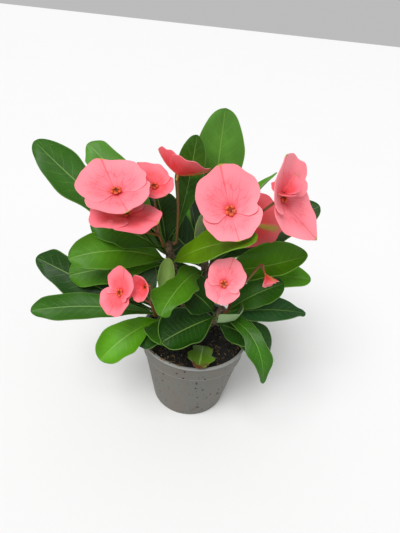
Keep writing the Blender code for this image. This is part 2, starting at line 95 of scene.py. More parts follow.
def length_property(name, description, default):
    return FloatProperty(name=name, description=description, unit="LENGTH", min=0, default=default)


# ---------------------------------------------------------------- settings


class LeafSettings(bpy.types.PropertyGroup):
    thickness: length_property("Thickness", "Thickness of a leaf's blade", 0.7 * MM)
    midrib_depth: length_property("Midrib depth", "Depth of the groove over the midrib", 0.5 * MM)
    quilting: length_property("Quilting", "Swelling of the blade between side veins", 0.16 * MM)
    reach_in: length_property("Reach into the stem", "How far a leaf's stalk runs in", 3.0 * MM)
    # Bright, middle and dark are one leaf green in painted light, painted half shade and painted shade;
    # dark is partly also the deeper green of old leaves low on the plant.
    bright: colour_property("Bright", "Full-grown leaf in good light", colour(68, 124, 8))
    middle: colour_property("Middle", "Leaf in half shade", colour(46, 98, 10))
    bluish: colour_property("Bluish", "Waxy leaf with a bluish bloom", colour(86, 144, 48))
    dark: colour_property("Dark", "Old leaf low on the plant", colour(24, 68, 6))
    grey: colour_property("Greyish", "Old leaf with a grey bloom", colour(34, 80, 32))
    lime: colour_property("Lime", "Young leaf", colour(82, 148, 2))
    olive: colour_property("Olive", "Leaf turning with age", colour(92, 136, 4))
    pale: colour_property("Pale", "Leaf that is just unfolding", colour(140, 172, 90))
    underside: colour_property("Underside", "Back of a leaf", colour(126, 156, 104))
    vein: colour_property("Vein", "Midrib and side veins", colour(142, 182, 84))
    scorched: colour_property("Scorched", "Browned edge of the fallen leaf", colour(104, 62, 24))


class FlowerSettings(bpy.types.PropertyGroup):
    thickness: length_property("Thickness", "Thickness of a bract", 0.5 * MM)
    ruffle: FloatProperty(
        name="Ruffle", description="Waviness of a bract's rim", min=0, max=0.2, default=0.045
    )
    pink: colour_property("Pink", "Upper side of a bract", colour(252, 126, 140))
    pale: colour_property("Pale rim", "Rim of a bract", colour(254, 142, 154))
    # Deep pink is partly the deeper tone of young bracts and partly painted shade on the heads behind and
    # under others.
    deep: colour_property("Deep pink", "Upper side of a young bract", colour(248, 96, 106))
    red: colour_property("Red", "Throat, veins and midrib", colour(222, 52, 62))
    back: colour_property("Back", "Underside of a bract", colour(230, 62, 64))
    green: colour_property("Green", "Stripe on the back and tip", colour(150, 160, 40))
    gland: colour_property("Gland", "Lobes round the cup", colour(238, 92, 40))
    pollen: colour_property("Pollen", "Anthers", colour(120, 60, 16))


class StemSettings(bpy.types.PropertyGroup):
    bark: colour_property("Bark", "Old bark", colour(74, 60, 46))
    bark_light: colour_property("Light bark", "Ridges of the bark", colour(126, 108, 84))
    thorn: colour_property("Thorn", "Thorns", colour(112, 98, 84))
    thorn_length: length_property("Thorn length", "Length of the longest thorn", 7.0 * MM)
    thorn_gap: length_property("Thorn gap", "Least distance between thorns", 4.2 * MM)
    stalk: colour_property("Stalk", "Flower stalk", colour(104, 84, 34))
    stalk_red: colour_property("Stalk blush", "Sunlit side of a stalk", colour(128, 66, 42))


class SoilSettings(bpy.types.PropertyGroup):
    dark: colour_property("Compost", "Damp compost", colour(17, 13, 11))
    light: colour_property("Dry crumbs", "Crumbs that have dried", colour(112, 84, 56))
    russet: colour_property("Russet crumbs", "Bits of bark", colour(104, 52, 34))
    fibre: colour_property("Fibre", "Coir and peat fibres", colour(150, 122, 72))
    crumbs: IntProperty(name="Crumbs", description="Crumbs on the soil", min=0, default=1300)
    fibres: IntProperty(name="Fibres", description="Fibres on the soil", min=0, default=150)


class PotSettings(bpy.types.PropertyGroup):
    plastic: colour_property("Plastic", "Moulded plastic", colour(104, 98, 88))
    cool: colour_property("Cool tint", "Cooler streaks in the plastic", colour(100, 103, 98))
    # Pale grey of the painted highlight along the lip and the collar's lower edge.
    painted_highlight: colour_property("Worn edge", "Lip and worn edges", colour(160, 162, 160))
    soil_speck: colour_property("Soil speck", "Soil stuck to the pot", colour(70, 44, 34))
    wall: length_property("Wall", "Wall thickness", 1.3 * MM)
    collar_height: length_property("Collar height", "From rim to collar foot", 17.5 * MM)
    collar_step: length_property("Collar step", "How far the collar stands proud", 1.5 * MM)
    lip_height: length_property("Lip height", "Height of the rolled lip", 2.6 * MM)
    lip_proud: length_property("Lip proud", "How far the lip stands proud", 1.2 * MM)
    floor: length_property("Floor", "Top of the pot's floor", 3.6 * MM)


class StageSettings(bpy.types.PropertyGroup):
    backdrop: colour_property("Backdrop", "Floor and backdrop", (0.86, 0.86, 0.86))
    sun: FloatProperty(name="Sun", description="Strength of the soft sun", min=0, default=2.45)
    sky: FloatProperty(name="Sky", description="Strength of the white sky", min=0, default=0.5)
    lens: FloatProperty(name="Lens", description="Focal length", unit="CAMERA", default=27.0)


class EuphorbiaSettings(bpy.types.PropertyGroup):
    leaf: PointerProperty(type=LeafSettings)
    flower: PointerProperty(type=FlowerSettings)
    stem: PointerProperty(type=StemSettings)
    soil: PointerProperty(type=SoilSettings)
    pot: PointerProperty(type=PotSettings)
    stage: PointerProperty(type=StageSettings)


def settings():
    return bpy.context.scene.euphorbia


# ---------------------------------------------------------------- modelling helpers


def deselect_all():
    if bpy.context.object and bpy.context.object.mode != "OBJECT":
        bpy.ops.object.mode_set(mode="OBJECT")
    bpy.ops.object.select_all(action="DESELECT")


def make_active(obj):
    deselect_all()
    obj.select_set(True)
    bpy.context.view_layer.objects.active = obj


def named(name):
    """The primitive that was just added, with its name."""
    made = bpy.context.object
    made.name = name
    made.data.name = name
    return made


def apply_modifier(obj, kind, **values):
    make_active(obj)
    modifier = obj.modifiers.new(kind.lower(), kind)
    for key, value in values.items():
        setattr(modifier, key, value)
    bpy.ops.object.modifier_apply(modifier=modifier.name)


def add_grid(name, columns, rows):
    deselect_all()
    bpy.ops.mesh.primitive_grid_add(x_subdivisions=columns, y_subdivisions=rows, size=1.0)
    return named(name)


def place_grid(obj, place_of, uv_of):
    """Each corner of a flat grid goes where place_of says, and its UV where uv_of says."""
    mesh = obj.data
    flat = [(vertex.co.x + 0.5, vertex.co.y + 0.5) for vertex in mesh.vertices]
    for vertex, (across, along) in zip(mesh.vertices, flat):
        vertex.co = place_of(across, along)
    layer = mesh.uv_layers.active
    for loop in mesh.loops:
        layer.data[loop.index].uv = uv_of(*flat[loop.vertex_index])
    mesh.update()


def join(pieces, name):
    deselect_all()
    for piece in pieces:
        piece.select_set(True)
    bpy.context.view_layer.objects.active = pieces[0]
    if len(pieces) > 1:
        bpy.ops.object.join()
    return named(name)


def copy_of(obj, matrix):
    """A copy with its own mesh, moved by the matrix."""
    made = obj.copy()
    made.data = obj.data.copy()
    made.data.transform(matrix)
    bpy.context.scene.collection.objects.link(made)
    return made


def smooth(obj, angle=None):
    make_active(obj)
    if angle is None:
        bpy.ops.object.shade_smooth()
    else:
        bpy.ops.object.shade_smooth_by_angle(angle=math.radians(angle))


def push_out(obj, distance_of):
    """Each corner moves along its normal by the distance for its place."""
    moves = [vertex.normal * distance_of(vertex.co) for vertex in obj.data.vertices]
    for vertex, move in zip(obj.data.vertices, moves):
        vertex.co += move
    obj.data.update()


def face_outward(obj):
    make_active(obj)
    bpy.ops.object.mode_set(mode="EDIT")
    bpy.ops.mesh.select_all(action="SELECT")
    bpy.ops.mesh.normals_make_consistent(inside=False)
    bpy.ops.object.mode_set(mode="OBJECT")


def finish_piece(obj, slot, *nodes):
    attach(obj, BODY)
    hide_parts(*nodes)
    return obj


def slot_of(node):
    for part in frame["record"]["subparts"]:
        if part["node"] == node:
            return part["material_slot"]
    raise RuntimeError(f"the record has no subpart {node}")


def turned_to(direction, place):
    """The matrix that takes +Z to a direction and the origin to a place."""
    return Matrix.Translation(place) @ direction.to_track_quat("Z", "Y").to_matrix().to_4x4()


def slope_at(knots, values, index):
    last = len(knots) - 1
    if index == 0:
        return (values[1] - values[0]) / (knots[1] - knots[0])
    if index == last:
        return (values[last] - values[last - 1]) / (knots[last] - knots[last - 1])
    before = knots[index] - knots[index - 1]
    after = knots[index + 1] - knots[index]
    slope_before = (values[index] - values[index - 1]) / before
    slope_after = (values[index + 1] - values[index]) / after
    return (slope_before * after + slope_after * before) / (before + after)


def smooth_at(knots, values, place):
    """The value at a place on the smooth curve through unevenly spaced values."""
    index = min(max(bisect_right(knots, place) - 1, 0), len(knots) - 2)
    step = knots[index + 1] - knots[index]
    t = (place - knots[index]) / step
    start = slope_at(knots, values, index) * step
    end = slope_at(knots, values, index + 1) * step
    return (
        values[index] * (2 * t**3 - 3 * t**2 + 1)
        + start * (t**3 - 2 * t**2 + t)
        + values[index + 1] * (3 * t**2 - 2 * t**3)
        + end * (t**3 - t**2)
    )


def eased(low, high, value):
    share = min(1.0, max(0.0, (value - low) / (high - low)))
    return share * share * (3 - 2 * share)


# ---------------------------------------------------------------- reading the solids


def merged_shape(node):
    shape = bmesh.new()
    shape.from_mesh(frame["nodes"][node].data)
    bmesh.ops.remove_doubles(shape, verts=shape.verts, dist=MERGE)
    return shape


def layers_from(pole):
    """The corners at each number of edges from a pole, which itself is left out."""
    seen = {pole}
    layer = [pole]
    layers = []
    while layer:
        further = []
        for corner in layer:
            for edge in corner.link_edges:
                other = edge.other_vert(corner)
                if other not in seen:
                    seen.add(other)
                    further.append(other)
        layer = further
        if further:
            layers.append(further)
    return layers


def in_order(ring):
    """A ring's corners as points, in order around it."""
    left = set(ring)
    order = [ring[0]]
    left.discard(ring[0])
    while left:
        beside = [edge.other_vert(order[-1]) for edge in order[-1].link_edges]
        following = [corner for corner in beside if corner in left]
        if not following:
            raise RuntimeError("a ring of a solid isn't closed")
        order.append(following[0])
        left.discard(following[0])
    return [corner.co.copy() for corner in order]


def read_rings(node, corners, count):
    """The two poles of a drawn-out sphere and the rings between them, from the first pole."""
    shape = merged_shape(node)
    for pole in shape.verts:
        if len(pole.link_edges) != corners:
            continue
        layers = layers_from(pole)
        if [len(layer) for layer in layers] == [corners] * count + [1]:
            rings = [in_order(layer) for layer in layers[:-1]]
            poles = [pole.co.copy(), layers[-1][0].co.copy()]
            shape.free()
            return poles, rings
    raise RuntimeError(f"{node} has no rings to read")


def spread(ring):
    half = len(ring) // 2
    return max((ring[i] - ring[i + half]).length for i in range(half))


class LeafForm:
    """A leaf as five lines along it, from its left margin to its right one."""

    def __init__(self, node, reach_in):
        poles, rings = read_rings(node, LEAF_CORNERS, LEAF_RINGS)
        if spread(rings[0]) > spread(rings[-1]):
            poles.reverse()
            rings.reverse()
        base, tip = poles
        along = (tip - base).normalized()
        leftward = Vector((0, 0, 1)).cross(along).normalized()
        upward = along.cross(leftward)
        self.middles = [base]
        self.offsets = []
        self.ups = []
        self.halves = []
        for ring in rings:
            first = max(range(4), key=lambda i: (ring[i] - ring[i + 4]).length)
            turned = ring[first:] + ring[:first]
            if (turned[0] - turned[4]).dot(leftward) < 0:
                turned = turned[4:] + turned[:4]
            leftward = (turned[0] - turned[4]).normalized()
            middle = (turned[2] + turned[6]) / 2
            up = (turned[2] - turned[6]).normalized()
            up = up if up.dot(upward) > 0 else -up
            upward = up
            half = (turned[0] - turned[4]).length / 2
            lines = [
                turned[0],
                (turned[1] + turned[7]) / 2,
                middle,
                (turned[3] + turned[5]) / 2,
                turned[4],
            ]
            self.middles.append(middle)
            self.offsets.append([(point - middle) / half for point in lines])
            self.ups.append(up)
            self.halves.append(half)
        self.middles.append(tip)
        for values in (self.offsets, self.ups, self.halves):
            values.insert(0, values[0])
            values.append(values[-1])
        self.halves[-1] = 0.0
        self.knots = [0.0]
        for before, after in zip(self.middles, self.middles[1:]):
            self.knots.append(self.knots[-1] + (after - before).length)
        if reach_in:
            root = base - (self.middles[1] - base).normalized() * reach_in
            self.middles.insert(0, root)
            self.knots.insert(0, -reach_in)
            for values in (self.offsets, self.ups, self.halves):
                values.insert(0, values[0])
        self.length = self.knots[-1]
        self.areas = [half * half for half in self.halves]
        self.widest_half = max(self.halves)
        self.widest = self.knots[self.halves.index(self.widest_half)] / self.length

    def beyond_widest(self, share):
        """0 up to a leaf's widest place and 1 at its tip."""
        return max(0.0, (share - self.widest) / (1 - self.widest))

    def at(self, place):
        """The midrib's point, the five offsets, the upward way and half the width."""
        middle = smooth_at(self.knots, self.middles, place)
        up = smooth_at(self.knots, self.ups, place).normalized()
        lines = []
        for line in range(5):
            lines.append(smooth_at(self.knots, [offset[line] for offset in self.offsets], place))
        half = math.sqrt(max(0.0, smooth_at(self.knots, self.areas, place)))
        return middle, lines, up, half


# ---------------------------------------------------------------- materials


class Paint:
    """One material's nodes, added and linked in turn."""

    def __init__(self, name):
        self.material = bpy.data.materials.new(name)
        self.material.use_nodes = True
        self.tree = self.material.node_tree
        self.shader = self.tree.nodes["Principled BSDF"]
        self.coords = self.tree.nodes.new("ShaderNodeTexCoord")

    def link(self, value, socket):
        if isinstance(value, bpy.types.NodeSocket):
            self.tree.links.new(value, socket)
        elif socket.type == "RGBA":
            socket.default_value = (*value[:3], 1.0)
        else:
            socket.default_value = value

    def node(self, kind, output, inputs=None, **values):
        made = self.tree.nodes.new(kind)
        for key, value in values.items():
            setattr(made, key, value)
        for key, value in (inputs or {}).items():
            self.link(value, made.inputs[key])
        return made.outputs[output]

    def maths(self, operation, *values):
        inputs = dict(enumerate(values))
        return self.node("ShaderNodeMath", 0, inputs, operation=operation)

    def times(self, one, two):
        return self.maths("MULTIPLY", one, two)

    def scaled(self, value, factor, offset):
        return self.maths("MULTIPLY_ADD", value, factor, offset)

    def plus(self, one, two):
        return self.maths("ADD", one, two)

    def minus(self, one, two):
        return self.maths("SUBTRACT", one, two)

    def greater(self, one, two):
        return self.maths("MAXIMUM", one, two)

    def size_of(self, value):
        return self.maths("ABSOLUTE", value)

    def from_middle(self, across):
        """From 0 on the middle line of a UV to 1 at its sides."""
        return self.times(self.size_of(self.minus(across, 0.5)), 2.0)

    def mixed(self, share, one, two):
        inputs = {"Factor": share, 6: one, 7: two}
        return self.node("ShaderNodeMix", 2, inputs, data_type="RGBA")

    def eased(self, value, low, high):
        """From 0 at low to 1 at high, also where low is above high."""
        inputs = {"Value": value, "From Min": low, "From Max": high}
        return self.node("ShaderNodeMapRange", 0, inputs, interpolation_type="SMOOTHSTEP")

    def noise(self, scale, detail=3.0, roughness=0.5, vector=None, distortion=0.0):
        inputs = {
            "Vector": vector or self.coords.outputs["Object"],
            "Scale": scale,
            "Detail": detail,
            "Roughness": roughness,
            "Distortion": distortion,
        }
        return self.node("ShaderNodeTexNoise", "Fac", inputs)

    def cells(self, scale, feature="F1", vector=None, output="Distance", randomness=1.0):
        inputs = {
            "Vector": vector or self.coords.outputs["Object"],
            "Scale": scale,
            "Randomness": randomness,
        }
        return self.node("ShaderNodeTexVoronoi", output, inputs, feature=feature)

    def uv(self):
        parts = self.tree.nodes.new("ShaderNodeSeparateXYZ")
        self.tree.links.new(self.coords.outputs["UV"], parts.inputs[0])
        return parts.outputs[0], parts.outputs[1]

    def bumped(self, height, distance, strength=1.0):
        inputs = {"Height": height, "Distance": distance, "Strength": strength}
        self.link(self.node("ShaderNodeBump", 0, inputs), self.shader.inputs["Normal"])

    def done(self, base, roughness, **constants):
        self.link(base, self.shader.inputs["Base Color"])
        self.link(roughness, self.shader.inputs["Roughness"])
        for key, value in constants.items():
            self.shader.inputs[key.replace("_", " ")].default_value = value
        return self.material


def tinted(base, factor):
    return tuple(min(1.0, value * factor) for value in base)


def leaf_upper_material(name, base, look):
    paint = Paint(name)
    across, along = paint.uv()
    off_middle = paint.size_of(paint.minus(across, 0.5))
    side = paint.times(off_middle, 2.0)
    patches = paint.noise(38.0, 3.0)
    shade = paint.mixed(paint.eased(patches, 0.35, 0.68), tinted(base, 0.74), tinted(base, 1.12))
    towards_edge = paint.mixed(paint.eased(side, 0.2, 1.0), shade, tinted(base, 0.86))
    wobble = paint.times(paint.minus(paint.noise(90.0, 2.0), 0.5), 0.5)
    swept = paint.scaled(side, -0.13, along)
    half_step = paint.times(paint.maths("GREATER_THAN", across, 0.5), 0.5)
    count = paint.plus(paint.times(swept, 13.0), half_step)
    phase = paint.maths("FRACT", paint.plus(count, wobble))
    from_vein = paint.size_of(paint.minus(phase, 0.5))
    vein = paint.times(paint.eased(from_vein, 0.075, 0.01), paint.eased(side, 0.97, 0.3))
    fine = paint.eased(paint.cells(420.0, "DISTANCE_TO_EDGE"), 0.09, 0.0)
    midrib_width = paint.scaled(along, -0.04, 0.06)
    midrib = paint.eased(paint.maths("DIVIDE", side, midrib_width), 1.0, 0.45)
    margin = paint.eased(side, 0.955, 0.985)
    veined = paint.mixed(paint.times(vein, 0.13), towards_edge, look.vein)
    netted = paint.mixed(paint.times(fine, 0.05), veined, look.vein)
    ribbed = paint.mixed(paint.times(midrib, 0.55), netted, look.vein)
    edged = paint.mixed(paint.times(margin, 0.30), ribbed, look.vein)
    dust = paint.eased(paint.cells(240.0), 0.10, 0.05)
    rare = paint.eased(paint.noise(120.0, 1.0), 0.62, 0.70)
    specked = paint.mixed(paint.times(paint.times(dust, rare), 0.5), edged,
                          tinted(look.vein, 1.2))
    height = paint.plus(paint.times(vein, -0.5), paint.times(fine, -0.22))
    grain = paint.scaled(paint.noise(1500.0, 2.0), 0.25, height)
    paint.bumped(grain, 0.12 * MM, 0.55)
    gloss = paint.scaled(paint.noise(150.0, 3.0), 0.2, 0.33)
    return paint.done(specked, gloss, Specular_IOR_Level=0.22)


def leaf_under_material(look):
    paint = Paint("leaf underside")
    across, along = paint.uv()
    side = paint.from_middle(across)
    base = paint.mixed(paint.noise(45.0, 3.0), tinted(look.underside, 0.72), look.underside)
    midrib = paint.eased(side, 0.09, 0.03)
    ribbed = paint.mixed(paint.times(midrib, 0.55), base, look.vein)
    count = paint.times(paint.scaled(side, -0.13, along), 13.0)
    phase = paint.maths("FRACT", count)
    vein = paint.eased(paint.size_of(paint.minus(phase, 0.5)), 0.09, 0.02)
    veined = paint.mixed(paint.times(vein, 0.22), ribbed, look.vein)
    paint.bumped(paint.plus(vein, paint.noise(900.0, 2.0)), 0.1 * MM, 0.4)
    return paint.done(veined, paint.scaled(paint.noise(80.0), 0.2, 0.45))


def scorched_material(look):
    paint = Paint("leaf scorched")
    across, along = paint.uv()
    ragged = paint.scaled(paint.noise(160.0, 4.0), 0.5, along)
    brown = paint.eased(ragged, 1.02, 1.2)
    green = paint.mixed(paint.noise(60.0, 3.0), tinted(look.olive, 0.75), look.olive)
    side = paint.size_of(paint.minus(across, 0.5))
    ribbed = paint.mixed(paint.eased(side, 0.05, 0.015), green, look.vein)
    burnt = paint.mixed(paint.noise(220.0, 3.0), tinted(look.scorched, 0.5), look.scorched)
    paint.bumped(paint.noise(500.0, 4.0), 0.2 * MM, 0.5)
    return paint.done(paint.mixed(brown, ribbed, burnt), paint.scaled(brown, 0.3, 0.45))


def bract_upper_material(name, base, pale, look):
    paint = Paint(name)
    across, along = paint.uv()
    angle = paint.minus(across, 0.5)
    side = paint.times(paint.size_of(angle), 2.0)
    patches = paint.noise(70.0, 3.0)
    middle = paint.mixed(paint.eased(patches, 0.3, 0.7), tinted(base, 0.9), base)
    rimmed = paint.mixed(paint.eased(along, 0.45, 0.9), middle, pale)
    throat = paint.times(paint.eased(along, 0.34, 0.04), 0.7)
    flushed = paint.mixed(throat, rimmed, look.red)
    stretched = paint.node("ShaderNodeCombineXYZ", 0, {
        0: paint.times(angle, 15.0),
        1: paint.times(along, 2.1),
        2: 0.0,
    })
    wobble = paint.noise(1.6, 3.0, vector=stretched)
    bent = paint.node("ShaderNodeVectorMath", 0, {
        0: stretched,
        1: paint.node("ShaderNodeCombineXYZ", 0, {0: wobble, 1: wobble, 2: 0.0}),
    }, operation="ADD")
    net = paint.eased(paint.cells(1.0, "DISTANCE_TO_EDGE", bent), 0.065, 0.0)
    fading = paint.times(net, paint.eased(along, 1.02, 0.2))
    veined = paint.mixed(paint.times(fading, 0.60), flushed, look.red)
    midrib = paint.times(paint.eased(side, 0.020, 0.006), paint.eased(along, 0.05, 0.16))
    ribbed = paint.mixed(paint.times(midrib, 0.45), veined, look.red)
    tip = paint.times(paint.eased(side, 0.05, 0.02), paint.eased(along, 0.955, 0.985))
    tipped = paint.mixed(paint.times(tip, 0.85), ribbed, look.green)
    height = paint.plus(paint.times(fading, -0.6), paint.noise(1200.0, 2.0))
    paint.bumped(height, 0.12 * MM, 0.45)
    rough = paint.scaled(paint.noise(300.0), 0.15, 0.42)
    return paint.done(tipped, rough, Sheen_Weight=0.12, Sheen_Roughness=0.4, Specular_IOR_Level=0.3)


def bract_under_material(look):
    paint = Paint("bract underside")
    across, along = paint.uv()
    side = paint.from_middle(across)
    base = paint.mixed(paint.noise(60.0, 3.0), tinted(look.back, 0.85), look.back)
    rimmed = paint.mixed(paint.times(paint.eased(along, 0.5, 1.0), 0.5), base, look.pink)
    ragged = paint.plus(side, paint.times(paint.noise(200.0, 3.0), 0.10))
    stripe = paint.times(paint.eased(ragged, 0.16, 0.07), paint.eased(along, 1.0, 0.75))
    striped = paint.mixed(paint.times(stripe, 0.75), rimmed, look.green)
    paint.bumped(paint.noise(700.0, 3.0), 0.1 * MM, 0.4)
    return paint.done(striped, paint.scaled(paint.noise(300.0), 0.15, 0.45))


def mottled_material(name, one, two, scale, grain, depth, rough, rough_spread=0.15, **constants):
    """Two colours mixed in patches, with a fine grain."""
    paint = Paint(name)
    patches = paint.noise(scale, 5.0, 0.6)
    base = paint.mixed(paint.eased(patches, 0.32, 0.68), one, two)
    paint.bumped(paint.noise(grain, 4.0, 0.6), depth, 0.6)
    roughness = paint.scaled(paint.noise(scale * 3, 3.0), rough_spread, rough)
    return paint.done(base, roughness, **constants)


def bark_material(look):
    paint = Paint("bark")
    stretched = paint.node("ShaderNodeMapping", 0, {
        "Vector": paint.coords.outputs["Object"],
        "Scale": (1.0, 1.0, 0.35),
    })
    ridges = paint.noise(420.0, 6.0, 0.65, stretched)
    base = paint.mixed(paint.eased(ridges, 0.38, 0.66), look.bark, look.bark_light)
    blotches = paint.eased(paint.noise(110.0, 3.0), 0.5, 0.62)
    dark = paint.mixed(paint.times(blotches, 0.6), base, tinted(look.bark, 0.5))
    paint.bumped(ridges, 0.5 * MM, 0.9)
    return paint.done(dark, paint.scaled(ridges, 0.2, 0.7))


def pot_material(look):
    paint = Paint("moulded plastic")
    streaked = paint.node("ShaderNodeMapping", 0, {
        "Vector": paint.coords.outputs["Object"],
        "Scale": (1.0, 1.0, 0.25),
    })
    streaks = paint.noise(60.0, 4.0, 0.6, streaked)
    base = paint.mixed(paint.eased(streaks, 0.35, 0.7), look.plastic, look.cool)
    cloudy = paint.mixed(paint.times(paint.noise(22.0, 3.0), 0.30), base,
                         tinted(look.plastic, 0.72))
    speck = paint.eased(paint.cells(170.0), 0.24, 0.14)
    fewer = paint.eased(paint.noise(60.0, 2.0), 0.50, 0.56)
    specks = paint.times(speck, fewer)
    small = paint.times(paint.eased(paint.cells(380.0), 0.26, 0.15),
                        paint.eased(paint.noise(90.0, 2.0), 0.52, 0.58))
    dirty = paint.greater(specks, paint.times(small, 0.8))
    smear = paint.times(paint.eased(paint.noise(70.0, 5.0, 0.7), 0.56, 0.78), 0.35)
    smeared = paint.mixed(smear, cloudy, look.soil_speck)
    specked = paint.mixed(dirty, smeared, tinted(look.soil_speck, 0.8))
    place = paint.tree.nodes.new("ShaderNodeSeparateXYZ")
    paint.tree.links.new(paint.coords.outputs["Object"], place.inputs[0])
    height = place.outputs[2]
    foot = POT_HIGH.z - look.collar_height
    lip = POT_HIGH.z - look.lip_height
    # Painted shade: dark bands just under the collar's foot and under the lip, where those steps shade the
    # wall.
    under_collar = paint.times(paint.eased(height, foot - 2.2 * MM, foot - 0.6 * MM),
                               paint.eased(height, foot + 0.35 * MM, foot + 0.1 * MM))
    under_lip = paint.times(paint.eased(height, lip - 2.2 * MM, lip - 0.6 * MM),
                            paint.eased(height, lip + 0.35 * MM, lip + 0.1 * MM))
    # Painted highlight: the lip and a thin band at the collar's lower edge are painted pale, as if
    # catching the light.
    collar_highlight = paint.times(paint.eased(height, foot + 0.2 * MM, foot + 0.5 * MM),
                              paint.eased(height, foot + 1.8 * MM, foot + 0.9 * MM))
    painted_highlight = paint.greater(paint.eased(height, lip + 0.2 * MM, lip + 0.8 * MM),
                       paint.times(collar_highlight, 0.5))
    # The painted shade under both steps, mixed in as a near-black tint of the plastic.
    painted_shade = paint.times(paint.greater(under_collar, under_lip), 0.75)
    edged = paint.mixed(painted_shade, specked, tinted(look.plastic, 0.3))
    # The painted highlight is mixed in here.
    rimmed = paint.mixed(paint.times(painted_highlight, 0.6), edged, look.painted_highlight)
    scuffs = paint.noise(900.0, 3.0, 0.6, streaked)
    bumps = paint.plus(paint.times(scuffs, 0.3), dirty)
    paint.bumped(bumps, 0.15 * MM, 0.5)
    rough = paint.greater(paint.scaled(scuffs, 0.22, 0.36),
                        paint.times(dirty, 0.85))
    return paint.done(rimmed, rough, Specular_IOR_Level=0.45)


def stage_material(look):
    paint = Paint("pale backdrop")
    base = paint.mixed(paint.noise(3.0, 2.0), look.backdrop, tinted(look.backdrop, 0.985))
    return paint.done(base, paint.scaled(paint.noise(40.0), 0.05, 0.85))


# ---------------------------------------------------------------- leaves

LEAF_COLUMNS = 18
LEAF_ROWS = 60
LEAF_LINES = (1.0, math.sqrt(0.5), 0.0, -math.sqrt(0.5), -1.0)
LEAF_TIP_BLUNT = 0.35 * MM
SIDE_VEINS = 13
TIP_POWER = 2.6



class LeafLook(NamedTuple):
    """What a leaf's solid leaves open: its tone, and shares of its width."""

    tone: str
    lobed: float
    curl: float
    blunt: float
    wide: float = 1.0


# The dark tone paints shade on the leaves inside, behind and low in the plant, and partly stands for their
# own older green.
LEAF_LOOKS = {
    "leaf_top_tall": LeafLook("bluish", 0.03, 0.02, 0.9, 1.08),
    "leaf_left_upper_long": LeafLook("middle", 0.09, 0.02, 1.0, 1.1),
    "leaf_centre_oval": LeafLook("dark", 0.03, 0.00, 1.0, 1.35),
    "leaf_centre_folded": LeafLook("olive", 0.03, 0.06, 0.6),
    "leaf_left_broad": LeafLook("bright", 0.06, 0.02, 0.8),
    "leaf_centre_lobed": LeafLook("bright", 0.24, 0.03, 1.0),
    "leaf_left_top": LeafLook("bluish", 0.20, 0.04, 1.0),
    "leaf_right_long": LeafLook("dark", 0.04, 0.02, 0.8, 1.2),
    "leaf_front_droop": LeafLook("middle", 0.20, 0.03, 0.1, 0.74),
    "leaf_left_far": LeafLook("dark", 0.16, 0.02, 1.0, 1.1),
    "leaf_left_low_long": LeafLook("middle", 0.06, 0.02, 0.8),
    "leaf_left_low_lime": LeafLook("lime", 0.05, 0.04, 1.0),
    "leaf_front_bowl": LeafLook("dark", 0.02, 0.34, 1.0, 1.08),
    "leaf_right_curled": LeafLook("bright", 0.05, 0.30, 1.0),
    "leaf_right_small": LeafLook("lime", 0.04, 0.05, 1.0, 1.1),
    "leaf_right_oval": LeafLook("middle", 0.04, 0.03, 1.0),
    "leaf_right_pointed": LeafLook("grey", 0.06, 0.02, 0.0),
    "leaf_front_right_dark": LeafLook("dark", 0.04, 0.03, 0.8, 1.15),
    "leaf_front_right_low": LeafLook("dark", 0.04, 0.03, 0.8),
    "leaf_front_curled": LeafLook("middle", 0.04, 0.22, 1.0),
    "leaf_front_dark": LeafLook("dark", 0.03, 0.02, 1.0, 1.3),
    "leaf_right_edge_on": LeafLook("lime", 0.03, 0.03, 0.8),
    "leaf_top_small": LeafLook("middle", 0.03, 0.02, 1.0),
    "leaf_top_folded": LeafLook("dark", 0.03, 0.14, 1.0, 1.15),
    "leaf_left_inner": LeafLook("middle", 0.05, 0.02, 1.0, 1.25),
    "leaf_left_up_inner": LeafLook("dark", 0.04, 0.02, 1.0, 1.6),
    "leaf_centre_grey": LeafLook("pale", 0.03, 0.04, 0.8),
    "leaf_left_low_dark": LeafLook("middle", 0.04, 0.02, 0.8),
    "leaf_left_mid_dark": LeafLook("dark", 0.03, 0.02, 0.8, 1.35),
    "leaf_left_low_inner": LeafLook("dark", 0.04, 0.02, 1.0, 1.3),
    "leaf_front_low": LeafLook("middle", 0.04, 0.02, 1.0, 1.2),
    "leaf_left_behind": LeafLook("bright", 0.04, 0.02, 1.0, 1.15),
    "leaf_young_curled": LeafLook("pale", 0.02, 0.35, 1.0),
    "leaf_back_left": LeafLook("bright", 0.05, 0.02, 1.0),
    "leaf_back_middle": LeafLook("middle", 0.05, 0.02, 1.0, 1.1),
    "leaf_back_right": LeafLook("dark", 0.05, 0.02, 1.0),
    "leaf_back_low_left": LeafLook("dark", 0.04, 0.02, 1.0),
    "leaf_back_low_right": LeafLook("bright", 0.04, 0.02, 1.0),
    "leaf_broken_on_soil": LeafLook("scorched", 0.16, 0.02, 1.0, 0.74),
}


def line_weights(across):
    """How much each of a leaf's five lines counts at a place across it."""
    weights = []
    for one in LEAF_LINES:
        weight = 1.0
        for other in LEAF_LINES:
            if other != one:
                weight *= (across - other) / (one - other)
        weights.append(weight)
    return weights


